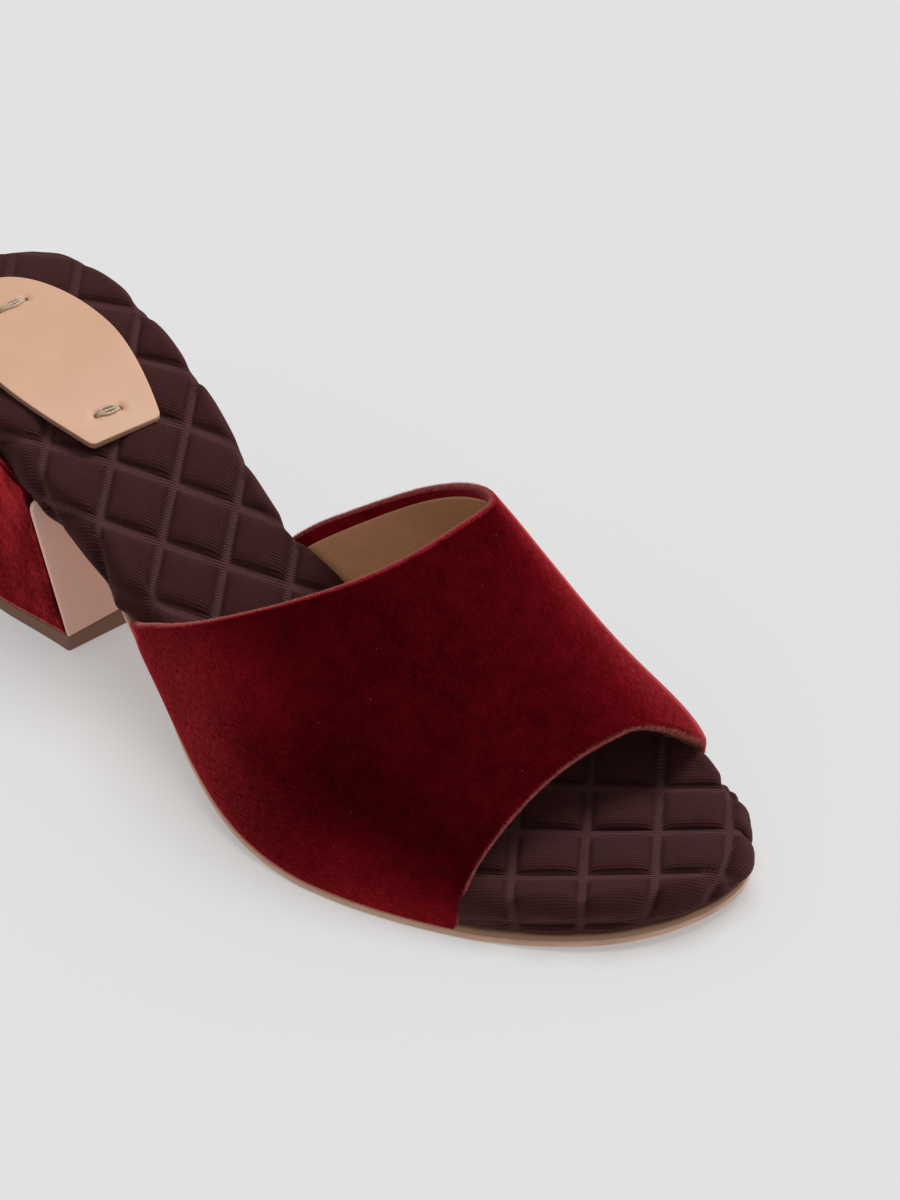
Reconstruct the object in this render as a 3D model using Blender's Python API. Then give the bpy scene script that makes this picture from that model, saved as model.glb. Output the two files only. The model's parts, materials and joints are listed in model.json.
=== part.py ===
"""A heeled mule for the right foot, as the separate pieces that a shoemaker joins.

A velvet vamp, open at the toe, stands over a quilted footbed on a thin leather outsole and a
velvet-covered block heel. Sizes are in millimetres. p runs forward from the back of the heel to
the tip of the toe, x runs across from the middle of the overall width (the outer side is
negative) and z runs up from the floor.
"""

import bmesh
import bpy
import numpy as np

MM = 0.001
GAP = 0.3                    # clearance between pieces that meet

# Sole
LENGTH = 240.0               # plan length, back of the heel to the tip of the toe
SOLE_THICK = 3.5
WAIST_INSET = 1.5            # the sole is cut back under the pad in front of the heel
WAIST_SPAN = (100.0, 125.0)
SOLE_ROWS = 44
SOLE_STRIPS = 4

# Footbed
PAD_THICK = 9.5
PAD_OVERHANG = 0.8           # the round edge of the pad stands past the sole by this much
PAD_TUCK = 4.7               # the pad is narrower by this much inside the vamp
TUCK_BEHIND = (8.0, 2.0)     # it narrows between these places behind the collar
TUCK_AHEAD = (1.0, 6.0)      # and widens again between these in front of the toe line
PAD_POINTS = 90
PAD_EDGE_LOW = 2.5           # height of its widest line
PAD_EDGE_ROUND = 4.75        # reach of the rounding over that line
PAD_EDGE_ANGLES = (-90, -35, 0, 30, 60, 90)
PAD_BEND_STEP = 10.0         # the underside is cut this often, to bend with the sole

# Quilting of the footbed
QUILT_CELL = 16.04
QUILT_ANGLE = 41.5           # degrees, from the length of the foot to the first set of lines
QUILT_PHASE = (12.2, 7.1)    # place of one line of each set
QUILT_GROOVE = 5.0
QUILT_DEPTH = 2.0
QUILT_DRIFT = (5.2, 2.1)     # sideways and forward creep of the quilting under the vamp
DRIFT_SPAN = (110.0, 200.0)

# Vamp
WALL = 2.2
VAMP_INSET = 0.8             # the vamp stands this far in from the edge of the sole
VAMP_RIDGE = 20.7            # x of the highest line
OUTER_FULLNESS = (2.4, 2.4)  # superellipse powers of the section, at the collar and at the toe
INNER_FULLNESS = (2.95, 2.45)
OUTER_BULGE = 1.5
VAMP_ACROSS = 38
VAMP_ALONG = 16

# Heel
BREAST_P = 62.0              # front of the heel at its outer top corner
BREAST_X = -31.0
BREAST_SKEW = 5.0            # degrees, the front of the heel follows the heel's own axis
BREAST_TURNS = (30, 90)      # turns of the outline between which that front lies
HEEL_INSET = 1.0
HEEL_TAPER = 0.76            # width of the foot of the heel over the width of its seat
HEEL_TUCK = 0.91             # the same for its depth
HEEL_POINTS = 18
HEEL_RINGS = 4
COVER_THICK = 1.2
COVER_CORNER = 5.0
TOP_PIECE_HIGH = 4.6

# Heel seat patch
PATCH_THICK = 1.4
PATCH_BACK = (0.5, 16.5)     # x and p of the middle of its rounded back
PATCH_FRONT = (-4.6, 66.0)   # the same for its straight front edge
PATCH_WIDE_AT = 0.53         # the widest place, as a share of its length
PATCH_WIDE = 33.5
PATCH_FRONT_WIDE = 21.6
PATCH_TAPER = 1.6            # power of the narrowing towards the front
PATCH_STEPS = 12

# Outline of the sole, with p = LENGTH / 2 * (1 - cos(turn))
OUTLINE = (
    # turn, outer x, inner x
    (0, 0.6, 0.6),
    (20, -19.2, 19.7),
    (40, -29.9, 27.0),
    (60, -30.9, 22.8),
    (80, -32.8, 16.7),
    (100, -44.2, 27.5),
    (120, -40.2, 39.0),
    (140, -25.2, 41.3),
    (160, -6.5, 32.7),
    (180, 16.2, 16.2),
)

# Underside of the sole; what falls below the floor is pressed flat on it
PROFILE = (
    # p, z
    (0, 57.4),
    (30, 53.6),
    (60, 45.5),
    (90, 29.7),
    (120, 12.3),
    (150, 1.8),
    (175, -0.4),
    (200, -0.3),
    (240, 3.1),
)

# Sections of the vamp
SECTIONS = (
    # p, height over the sole, bulge of the inner side
    (95, 37.0, 5.5),
    (125, 64.5, 10.5),
    (155, 68.5, 6.8),
    (185, 41.0, 6.3),
    (215, 24.8, 2.3),
)

# Front and back edges of the vamp, over the foot from the outer to the inner side
EDGES = (
    # share of the way over, collar p, toe line p
    (0.0, 95.6, 202.1),
    (0.125, 117.0, 203.4),
    (0.25, 143.3, 203.8),
    (0.5, 159.6, 205.1),
    (0.75, 142.5, 211.5),
    (0.875, 119.2, 208.5),
    (1.0, 97.2, 205.5),
)

VELVET = (0.10, 0.006, 0.008)
KNIT = (0.030, 0.014, 0.014)
NUDE_LEATHER = (0.66, 0.39, 0.28)
SOLE_LEATHER = (0.44, 0.26, 0.20)
TOP_PIECE_RUBBER = (0.13, 0.055, 0.036)


def smooth_curve(places, values):
    """Natural cubic spline through values at places, as a function of place."""
    x = np.array(places, float)
    y = np.array(values, float)
    h = np.diff(x)
    last = len(x) - 1
    matrix = np.eye(last + 1)
    right = np.zeros(last + 1)
    for i in range(1, last):
        matrix[i, i - 1:i + 2] = h[i - 1], 2 * (h[i - 1] + h[i]), h[i]
        right[i] = 6 * ((y[i + 1] - y[i]) / h[i] - (y[i] - y[i - 1]) / h[i - 1])
    bend = np.linalg.solve(matrix, right)

    def value(at):
        at = np.asarray(at, float)
        i = np.clip(np.searchsorted(x, at, side="right") - 1, 0, last - 1)
        a, b = x[i + 1] - at, at - x[i]
        cubic = (bend[i] * a ** 3 + bend[i + 1] * b ** 3) / (6 * h[i])
        line = (y[i] * a + y[i + 1] * b) / h[i] - (bend[i] * a + bend[i + 1] * b) * h[i] / 6
        return cubic + line

    return value


def closed_curve(values):
    """Periodic cubic B-spline through evenly spaced values, as a function of the row number."""
    count = len(values)
    unit = np.eye(count)
    matrix = (np.roll(unit, 1, 0) + 4 * unit + np.roll(unit, -1, 0)) / 6
    control = np.linalg.solve(matrix, np.array(values, float))

    def value(at):
        at = np.asarray(at, float)
        i = np.floor(at).astype(int)
        f = at - i
        weights = ((1 - f) ** 3, 3 * f ** 3 - 6 * f ** 2 + 4, 1 + 3 * f + 3 * f ** 2 - 3 * f ** 3, f ** 3)
        return sum(w * control[(i + k - 1) % count] for k, w in enumerate(weights)) / 6

    return value


def ease(value, start, end):
    """Smooth step from 0 at start to 1 at end."""
    t = np.clip((np.asarray(value, float) - start) / (end - start), 0.0, 1.0)
    return t * t * (3 - 2 * t)


def table_curve(rows, column):
    """Smooth curve through one column of a table, over its first column."""
    return smooth_curve([row[0] for row in rows], [row[column] for row in rows])


OUTLINE_STEP = OUTLINE[1][0]
side_curve = closed_curve([row[1] for row in OUTLINE] + [row[2] for row in OUTLINE[-2:0:-1]])
floor_curve = table_curve(PROFILE, 1)
height_curve = table_curve(SECTIONS, 1)
bulge_curve = table_curve(SECTIONS, 2)
collar_curve = table_curve(EDGES, 1)
toe_curve = table_curve(EDGES, 2)


def underside(p):
    """Height of the sole's underside."""
    return np.maximum(floor_curve(p), 0.0)


def outline(turns, inset=0.0):
    """Plan points x, p of the sole's edge at turns, moved inwards by inset."""
    def edge(turn):
        return side_curve(turn / OUTLINE_STEP), LENGTH / 2 * (1 - np.cos(np.radians(turn)))

    turns = np.asarray(turns, float)
    x, p = edge(turns)
    ahead, behind = edge(turns + 0.5), edge(turns - 0.5)
    dx, dp = ahead[0] - behind[0], ahead[1] - behind[1]
    size = np.hypot(dx, dp)
    return x + inset * dp / size, p - inset * dx / size


def turn_at(p):
    """Turn of the outer edge at p."""
    return np.degrees(np.arccos(np.clip(1 - 2 * np.asarray(p) / LENGTH, -1, 1)))


def breast_p(x, ahead=0.0):
    """Place of the heel's front face at x, moved forward by ahead."""
    return BREAST_P + ahead + (x - BREAST_X) * np.tan(np.radians(BREAST_SKEW))


def breast_turns(inset, ahead=0.0):
    """Turns at which the outline crosses the heel's front face, outer and inner."""
    found = []
    for side in (1, -1):
        turns = side * np.arange(*BREAST_TURNS, 0.1)
        x, p = outline(turns, inset)
        found.append(np.interp(0.0, p - breast_p(x, ahead), turns))
    return found


def material(name, colour, roughness):
    """Plain surface with a colour and a roughness."""
    finish = bpy.data.materials.new(name)
    finish.use_nodes = True
    shader = finish.node_tree.nodes["Principled BSDF"]
    shader.inputs["Base Color"].default_value = (*colour, 1.0)
    shader.inputs["Roughness"].default_value = roughness
    shader.inputs["Metallic"].default_value = 0.0
    finish.diffuse_color = (*colour, 1.0)
    return finish


def piece(name, bm, finish, parent, sharp=40.0):
    """Object from a bmesh in x, p, z millimetres, with its faces pointing out."""
    bmesh.ops.remove_doubles(bm, verts=bm.verts, dist=0.002)
    for vert in bm.verts:
        x, p, z = vert.co
        vert.co = (x * MM, (LENGTH / 2 - p) * MM, z * MM)
    bmesh.ops.recalc_face_normals(bm, faces=bm.faces)
    if bm.calc_volume(signed=True) < 0:
        bmesh.ops.reverse_faces(bm, faces=bm.faces)
    mesh = bpy.data.meshes.new(name)
    bm.to_mesh(mesh)
    bm.free()
    mesh.shade_smooth()
    mesh.set_sharp_from_angle(angle=np.radians(sharp))
    mesh.materials.append(finish)
    part = bpy.data.objects.new(name, mesh)
    part.parent = parent
    bpy.context.scene.collection.objects.link(part)
    return part


def add_verts(bm, x, p, z):
    """One vertex for each element of the arrays, in an array of the same shape."""
    x, p, z = np.broadcast_arrays(x, p, z)
    verts = [bm.verts.new(co) for co in zip(x.ravel(), p.ravel(), z.ravel())]
    return np.array(verts, dtype=object).reshape(x.shape)


def add_grid(bm, verts):
    """Faces over a two-way array of vertices; a corner that repeats makes a triangle."""
    for i in range(verts.shape[0] - 1):
        for j in range(verts.shape[1] - 1):
            corners = (verts[i, j], verts[i + 1, j], verts[i + 1, j + 1], verts[i, j + 1])
            bm.faces.new(tuple(dict.fromkeys(corners)))


def add_block(bm, top, bottom):
    """Closed block between two equal two-way arrays of vertices."""
    add_grid(bm, top)
    add_grid(bm, bottom)
    for edge in (np.s_[0, :], np.s_[-1, :], np.s_[:, 0], np.s_[:, -1]):
        add_grid(bm, np.stack([top[edge], bottom[edge]]))


def bisect_faces(bm, faces, point, normal):
    """Cut the faces along a plane, leaving the mesh whole."""
    geom = list(faces)
    geom += {edge for face in faces for edge in face.edges}
    geom += {vert for face in faces for vert in face.verts}
    bmesh.ops.bisect_plane(bm, geom=geom, dist=0.01, plane_co=point, plane_no=normal)


def faces_at(bm, height):
    """Level faces of a flat mesh at a height."""
    return [face for face in bm.faces if all(abs(vert.co.z - height) < 0.001 for vert in face.verts)]


# The pad and the patch are drawn flat, as along, x and height, and then laid on the sole

FINE_P = np.linspace(-PAD_OVERHANG - 1, LENGTH + PAD_OVERHANG + 1, 961)
ARC = np.concatenate([[0], np.cumsum(np.hypot(np.diff(FINE_P), np.diff(underside(FINE_P))))])
FLAT_ALONG = ARC - np.interp(0, FINE_P, ARC) + QUILT_DRIFT[1] * ease(FINE_P, *DRIFT_SPAN)


def flat_point(x, p):
    """Place of a plan point on the flat quilted sheet: across and along."""
    return x + QUILT_DRIFT[0] * ease(p, *DRIFT_SPAN), np.interp(p, FINE_P, FLAT_ALONG)


def lay_on_sole(bm, base):
    """Bend a flat mesh of across, along and height on to the sole, base above its underside."""
    for vert in bm.verts:
        across, along, height = vert.co
        p = float(np.interp(along, FLAT_ALONG, FINE_P))
        x = across - QUILT_DRIFT[0] * float(ease(p, *DRIFT_SPAN))
        vert.co = (x, p, float(underside(p)) + base + height)


def pad_tuck(turns):
    """How much narrower the pad is where the vamp stands beside it."""
    p = outline(turns)[1]
    sides = []
    for _, collar, toe in (EDGES[0], EDGES[-1]):
        narrows = ease(p, collar - TUCK_BEHIND[0], collar - TUCK_BEHIND[1])
        widens = ease(p, toe + TUCK_AHEAD[0], toe + TUCK_AHEAD[1])
        sides.append(PAD_TUCK * narrows * (1 - widens))
    return np.where(turns < 180, *sides)


def make_outsole(parent, finish):
    """Leather sole from the front of the heel to the toe, following the arch and the toe spring."""
    share = np.linspace(0, 1, SOLE_ROWS + 1)
    edges = []
    for start, end in zip(breast_turns(WAIST_INSET, 2 * GAP + COVER_THICK), (180, -180)):
        turns = start + (end - start) * share
        edges.append(outline(turns, WAIST_INSET * (1 - ease(outline(turns)[1], *WAIST_SPAN))))
    outer, inner = edges
    across = np.linspace(0, 1, SOLE_STRIPS + 1)[None, :]
    x = outer[0][:, None] * (1 - across) + inner[0][:, None] * across
    p = outer[1][:, None] * (1 - across) + inner[1][:, None] * across
    bm = bmesh.new()
    add_block(bm, add_verts(bm, x, p, underside(p) + SOLE_THICK), add_verts(bm, x, p, underside(p)))
    return piece("outsole", bm, finish, parent)


def quilt_lines():
    """Normal and place of every groove on the flat sheet."""
    angle = np.radians(QUILT_ANGLE)
    corners = [(x, along) for x in (-LENGTH / 4, LENGTH / 4) for along in (0, FLAT_ALONG[-1])]
    directions = ((np.sin(angle), np.cos(angle)), (-np.cos(angle), np.sin(angle)))
    for (nx, na), phase in zip(directions, QUILT_PHASE):
        reach = [nx * x + na * along for x, along in corners]
        first = int(np.floor((min(reach) - phase) / QUILT_CELL))
        last = int(np.ceil((max(reach) - phase) / QUILT_CELL))
        for k in range(first, last + 1):
            yield (nx, na), phase + k * QUILT_CELL


def make_footbed(parent, finish):
    """Padded footbed with a round edge and a diamond grid of grooves pressed into its top."""
    turns = np.linspace(0, 360, PAD_POINTS, endpoint=False)
    bm = bmesh.new()
    rings = []
    for angle in np.radians(PAD_EDGE_ANGLES):
        over = angle > 0
        reach = PAD_EDGE_ROUND if over else PAD_EDGE_LOW
        rise = PAD_THICK - PAD_EDGE_LOW if over else PAD_EDGE_LOW
        x, p = outline(turns, reach * (1 - np.cos(angle)) - PAD_OVERHANG + pad_tuck(turns))
        rings.append(add_verts(bm, *flat_point(x, p), PAD_EDGE_LOW + rise * np.sin(angle)))
    closed = np.stack(rings)
    add_grid(bm, np.concatenate([closed, closed[:, :1]], axis=1))
    bm.faces.new(rings[0])
    bm.faces.new(rings[-1])
    grooves = list(quilt_lines())
    for (nx, na), place in grooves:
        for offset in (-QUILT_GROOVE / 2, 0.0, QUILT_GROOVE / 2):
            at = place + offset
            bisect_faces(bm, faces_at(bm, PAD_THICK), (nx * at, na * at, 0), (nx, na, 0))
    for along in np.arange(PAD_BEND_STEP, FLAT_ALONG[-1], PAD_BEND_STEP):
        bisect_faces(bm, faces_at(bm, 0.0), (0, along, 0), (0, 1, 0))
    top = set(faces_at(bm, PAD_THICK))
    for vert in bm.verts:
        off = min(abs(nx * vert.co.x + na * vert.co.y - place) for (nx, na), place in grooves)
        if off < 0.05 and top.issuperset(vert.link_faces):
            vert.co.z -= QUILT_DEPTH
    lay_on_sole(bm, SOLE_THICK + GAP)
    return piece("footbed", bm, finish, parent, sharp=70.0)


def vamp_point(t, v):
    """Outer face of the vamp, t over the foot from the outer side, v from the collar to the toe line.

    A section is half a superellipse over the ridge line: x from the ridge to the edge by
    cos ** (2 / power), height by sin ** (2 / power), with the sides bulging at half height.
    """
    p = collar_curve(t) * (1 - v) + toe_curve(t) * v
    forward = np.clip((p - SECTIONS[0][0]) / (SECTIONS[-1][0] - SECTIONS[0][0]), 0, 1)

    def graded(pair):
        return pair[0] * (1 - forward) + pair[1] * forward

    outer_side = t < 0.5
    power = np.where(outer_side, graded(OUTER_FULLNESS), graded(INNER_FULLNESS))
    turn = turn_at(p)
    edge = np.where(outer_side, outline(turn)[0] + VAMP_INSET, outline(-turn)[0] - VAMP_INSET)
    rise = np.clip(np.sin(np.pi * t), 0, 1) ** (2 / power)
    bulge = np.where(outer_side, -OUTER_BULGE, bulge_curve(p)) * np.sin(np.pi * rise)
    reach = np.abs(np.cos(np.pi * t)) ** (2 / power)
    x = VAMP_RIDGE + (edge - VAMP_RIDGE) * reach + bulge
    return np.stack([x, p, underside(p) + SOLE_THICK + GAP + height_curve(p) * rise], axis=-1)


def even_shares(count):
    """Values of t that divide the middle section of the vamp into equal lengths."""
    fine = np.linspace(0, 1, 1201)
    steps = np.linalg.norm(np.diff(vamp_point(fine, np.full_like(fine, 0.5)), axis=0), axis=1)
    length = np.concatenate([[0], np.cumsum(steps)])
    return np.interp(np.linspace(0, length[-1], count + 1), length, fine)


def make_upper(parent, finish):
    """Hollow vamp: an outer face, an inner face one wall inside it, and the rims between."""
    t, v = np.meshgrid(even_shares(VAMP_ACROSS), np.linspace(0, 1, VAMP_ALONG + 1), indexing="ij")
    outer = vamp_point(t, v)
    normal = np.cross(np.gradient(outer, axis=1), np.gradient(outer, axis=0))
    normal /= np.linalg.norm(normal, axis=-1, keepdims=True)
    normal *= np.sign(normal[VAMP_ACROSS // 2, VAMP_ALONG // 2, 2])
    inner = outer - WALL * normal
    foot = underside(inner[..., 1]) + SOLE_THICK + GAP
    inner[..., 2] = np.maximum(inner[..., 2], foot)
    inner[[0, -1], :, 2] = foot[[0, -1]]
    bm = bmesh.new()
    add_block(bm, add_verts(bm, *np.moveaxis(outer, -1, 0)), add_verts(bm, *np.moveaxis(inner, -1, 0)))
    return piece("upper", bm, finish, parent, sharp=50.0)


def heel_ring(drop):
    """Plan of the heel at a share of the way down, from the outer to the inner front corner."""
    starts = breast_turns(HEEL_INSET)
    x, p = outline(np.linspace(starts[0], starts[1], 2 * HEEL_POINTS + 1), HEEL_INSET)
    seat = underside(p) + SOLE_THICK
    skew = np.radians(BREAST_SKEW)
    middle = np.array([(x[0] + x[-1]) / 2, (p[0] + p[-1]) / 2])
    side = (x - middle[0]) * np.cos(skew) + (p - middle[1]) * np.sin(skew)
    back = (x - middle[0]) * np.sin(skew) - (p - middle[1]) * np.cos(skew)
    side = side * (1 - drop * (1 - HEEL_TAPER))
    back = back * (1 - drop * (1 - HEEL_TUCK))
    x = middle[0] + side * np.cos(skew) + back * np.sin(skew)
    p = middle[1] + side * np.sin(skew) - back * np.cos(skew)
    return x, p, seat * (1 - drop) + (TOP_PIECE_HIGH + GAP) * drop


def make_heel(parent, finish):
    """Block heel: its seat follows the slope of the sole, and it tapers down to the top piece."""
    bm = bmesh.new()
    rings = np.stack([add_verts(bm, *heel_ring(drop)) for drop in np.linspace(0, 1, HEEL_RINGS + 1)])
    add_grid(bm, rings)
    add_grid(bm, rings[:, [-1, 0]])
    for ring in (rings[0], rings[-1]):
        add_grid(bm, np.stack([ring[:HEEL_POINTS + 1], ring[:HEEL_POINTS - 1:-1]]))
    return piece("heel", bm, finish, parent)


def forward_of_breast(distance):
    """Plan step straight forward from the heel's front face."""
    skew = np.radians(BREAST_SKEW)
    return -distance * np.sin(skew), distance * np.cos(skew)


def make_top_piece(parent, finish):
    """Wearing piece under the heel and under the foot of its front cover."""
    x, p, _ = heel_ring(1.0)
    dx, dp = forward_of_breast(GAP + COVER_THICK)
    x = np.concatenate([[x[0] + dx], x, [x[-1] + dx]])
    p = np.concatenate([[p[0] + dp], p, [p[-1] + dp]])
    bm = bmesh.new()
    rings = np.stack([add_verts(bm, x, p, z) for z in (0.0, TOP_PIECE_HIGH)])
    add_grid(bm, np.concatenate([rings, rings[:, :1]], axis=1))
    for ring in rings:
        bm.faces.new(ring)
    return piece("heel_top_piece", bm, finish, parent)


def rounded(before, corner, after, radius, steps=5):
    """Points that round a corner between two neighbours."""
    before, corner, after = (np.array(point, float) for point in (before, corner, after))
    start = corner + (before - corner) * radius / np.linalg.norm(before - corner)
    end = corner + (after - corner) * radius / np.linalg.norm(after - corner)
    return [(1 - s) ** 2 * start + 2 * s * (1 - s) * corner + s * s * end for s in np.linspace(0, 1, steps)]


def make_breast_cover(parent, finish):
    """Leather that covers the front of the heel, with round upper corners."""
    x_top, _, _ = heel_ring(0.0)
    x_foot, p_foot, z_foot = heel_ring(1.0)
    under_pad = underside(breast_p(x_top, GAP + COVER_THICK)) + SOLE_THICK
    corners = [
        (x_foot[0], z_foot[0]),
        (x_top[0], under_pad[0]),
        (x_top[-1], under_pad[-1]),
        (x_foot[-1], z_foot[-1]),
    ]
    points = [corners[0]]
    points += rounded(corners[0], corners[1], corners[2], COVER_CORNER)
    points += rounded(corners[1], corners[2], corners[3], COVER_CORNER)
    points += [corners[3]]
    x, z = np.array(points).T
    line = p_foot[0] + (x - x_foot[0]) * np.tan(np.radians(BREAST_SKEW))
    bm = bmesh.new()
    faces = []
    for distance in (GAP, GAP + COVER_THICK):
        dx, dp = forward_of_breast(distance)
        faces.append(add_verts(bm, x + dx, line + dp, z))
    rings = np.stack(faces)
    add_grid(bm, np.concatenate([rings, rings[:, :1]], axis=1))
    for ring in rings:
        bm.faces.new(ring)
    return piece("heel_breast_cover", bm, finish, parent)


def make_patch(parent, finish):
    """Leather patch on the heel seat: a round back that narrows to a straight front edge."""
    share = 0.5 - 0.5 * np.cos(np.pi * np.linspace(0, 1, PATCH_STEPS + 1))
    behind = np.sqrt(np.clip(1 - ((PATCH_WIDE_AT - share) / PATCH_WIDE_AT) ** 2, 0, 1)) * PATCH_WIDE
    ahead = np.clip((share - PATCH_WIDE_AT) / (1 - PATCH_WIDE_AT), 0, 1) ** PATCH_TAPER
    width = np.where(share < PATCH_WIDE_AT, behind, PATCH_WIDE - (PATCH_WIDE - PATCH_FRONT_WIDE) * ahead)
    middle_x = PATCH_BACK[0] + (PATCH_FRONT[0] - PATCH_BACK[0]) * share
    middle_p = PATCH_BACK[1] + (PATCH_FRONT[1] - PATCH_BACK[1]) * share
    across = np.linspace(-0.5, 0.5, 5)[None, :]
    x = middle_x[:, None] + width[:, None] * across
    p = np.broadcast_to(middle_p[:, None], x.shape)
    bm = bmesh.new()
    flat = flat_point(x, p)
    add_block(bm, add_verts(bm, *flat, PATCH_THICK), add_verts(bm, *flat, 0.0))
    lay_on_sole(bm, SOLE_THICK + PAD_THICK + 2 * GAP)
    return piece("heel_seat_patch", bm, finish, parent)


def main():
    for old in list(bpy.data.objects):
        bpy.data.objects.remove(old, do_unlink=True)
    mule = bpy.data.objects.new("mule", None)
    bpy.context.scene.collection.objects.link(mule)
    velvet = material("velvet", VELVET, 0.9)
    nude = material("nude_leather", NUDE_LEATHER, 0.55)
    make_upper(mule, velvet)
    make_footbed(mule, material("knit", KNIT, 0.85))
    make_outsole(mule, material("sole_leather", SOLE_LEATHER, 0.6))
    make_heel(mule, velvet)
    make_breast_cover(mule, nude)
    make_top_piece(mule, material("top_piece_rubber", TOP_PIECE_RUBBER, 0.6))
    make_patch(mule, nude)


main()
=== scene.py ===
"""Looks of a heeled mule: velvet vamp and heel, quilted knit footbed, leather and rubber pieces.

The file is laid out as an add-on and is run as a script. Shapes are worked out in millimetres in
the shoe's own frame: p runs forward from the back of the heel to the tip of the toe, x runs across
(the outer side is negative) and z runs up from the floor.
"""

import json

import bmesh
import bpy
import numpy as np
from bpy.props import FloatProperty, FloatVectorProperty, IntProperty, PointerProperty
from mathutils import Matrix, Vector

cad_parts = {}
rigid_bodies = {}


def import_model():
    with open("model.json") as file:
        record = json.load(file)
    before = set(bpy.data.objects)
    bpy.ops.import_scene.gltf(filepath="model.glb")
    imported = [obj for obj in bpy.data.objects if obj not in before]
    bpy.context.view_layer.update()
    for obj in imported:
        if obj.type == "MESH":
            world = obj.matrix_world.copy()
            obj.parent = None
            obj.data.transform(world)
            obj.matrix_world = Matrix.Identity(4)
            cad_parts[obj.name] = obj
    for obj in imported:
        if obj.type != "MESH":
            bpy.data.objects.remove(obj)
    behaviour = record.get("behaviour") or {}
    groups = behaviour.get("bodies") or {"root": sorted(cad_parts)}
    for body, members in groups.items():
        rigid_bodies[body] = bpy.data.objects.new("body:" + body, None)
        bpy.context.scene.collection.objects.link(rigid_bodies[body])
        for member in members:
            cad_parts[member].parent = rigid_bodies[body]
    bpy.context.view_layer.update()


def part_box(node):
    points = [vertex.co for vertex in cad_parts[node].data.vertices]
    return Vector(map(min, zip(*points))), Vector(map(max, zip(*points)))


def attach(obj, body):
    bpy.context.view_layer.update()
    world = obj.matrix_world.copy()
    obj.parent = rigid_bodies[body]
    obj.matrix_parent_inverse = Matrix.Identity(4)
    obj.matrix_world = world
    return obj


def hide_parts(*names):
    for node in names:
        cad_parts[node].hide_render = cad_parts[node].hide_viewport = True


for startup_object in list(bpy.data.objects):
    bpy.data.objects.remove(startup_object)
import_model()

bl_info = {
    "name": "Heeled mule",
    "version": (1, 0, 0),
    "blender": (4, 5, 0),
    "location": "3D View > Sidebar > Mule",
    "description": "Velvet, quilted knit and leather surfaces of a heeled mule",
    "category": "Object",
}

MM = 0.001
GAP = 0.3                    # clearance between pieces that meet

# Sole
LENGTH = -2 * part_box("outsole")[0].y / MM
SOLE_THICK = 3.5
SOLE_ROUND = 0.6
WAIST_INSET = 1.5            # the sole is cut back under the pad in front of the heel
WAIST_SPAN = (100.0, 125.0)
SOLE_TUCK = 2.4              # and this much more on the outer side, behind the vamp
TUCK_SPAN = (80.0, 95.0)
TOE_TRIM = 0.2               # it is cut back a little round the toe
TOE_TRIM_SPAN = (205.0, 225.0)
SOLE_LINE = 1.8              # height of a scored line on the edge, between its two tones; the upper tone is painted shadow under the pad
SOLE_LINE_DEPTH = 0.2
SOLE_MIDDLE = (20.0, 212.0)  # ends of the line to which the rings of its faces run

# Footbed
PAD_THICK = 9.5
PAD_OVERHANG = 0.8
PAD_MIDDLE = (26.0, 212.0)
PAD_TOP_RINGS = 62
PAD_EDGE_RINGS = 17
COLLAR_TUCK = (-2.5, 2.0)    # the pad narrows to the lining between these distances past the collar
TOE_TUCK = (-4.0, 1.0)       # and widens again between these distances past the toe line
PAD_EDGE_LOW = 2.5           # height of its widest line
PAD_EDGE_ROUND = 4.75        # reach of the rounding over that line
CUP_RISE = 4.4               # the vamp presses the pad's inner edge up
CUP_WIDTH = 12.0
CUP_SPAN = (165.0, 192.0, 203.0, 214.0)
KNIT_SPARE = 16.0            # the knit goes on this far past both ends, down the pad's edge
QUILT_ANGLE = np.radians(41.5)
PILLOW_POWERS = (9.0, 2.6)   # a cell rises steeply from its groove and then bellies
PILLOW_BELLY = 0.4           # share of the belly
QUILT_PHASE = (12.3, 10.1)
HEEL_CREEP = (1.3, -2.0)     # shift of the two sets of quilt lines on the heel seat
CREEP_SPAN = (60.0, 100.0)
QUILT_DRIFT = (5.2, 2.1)
DRIFT_SPAN = (110.0, 200.0)
GROOVE_SOFT = 0.3            # half width over which the mark of a groove fades
CREASE_OFF = 0.5             # painted shade at a crease lies this far from the floor of its groove
CREASE_WIDE = 0.45
COMB_REACH = (1.0, 6.0)      # the ribs close again between these distances from a groove; this is on the side of each cell that the light rakes, and shade is painted between them
TOE_COMB = 0.45              # how far they stand open at the toe, with painted shade between them
TOE_COMB_SPAN = (150.0, 195.0)
TIGHT = ((-60, 0, 50, 90), (0.0, 0.15, 0.45, 1.0))   # lift of the pad's edge, share of the quilting
LOOSE = ((-75, -20, 60, 90), (0.0, 1.1, 1.0, 1.0))   # the same where the cells pucker the edge
PUCKER_SPAN = (40, 56, 84, 92)
TOE_PUCKER = 0.85
TOE_PUCKER_SPAN = (196, 206)
SEAT_QUILT = 0.5             # share of the quilting at the back of the heel
SEAT_QUILT_SPAN = (8, 50)
PATCH_PRESS = 0.85           # share of the quilting that the patch presses flat
PRESS_REACH = (0.5, 3.0)

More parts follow.
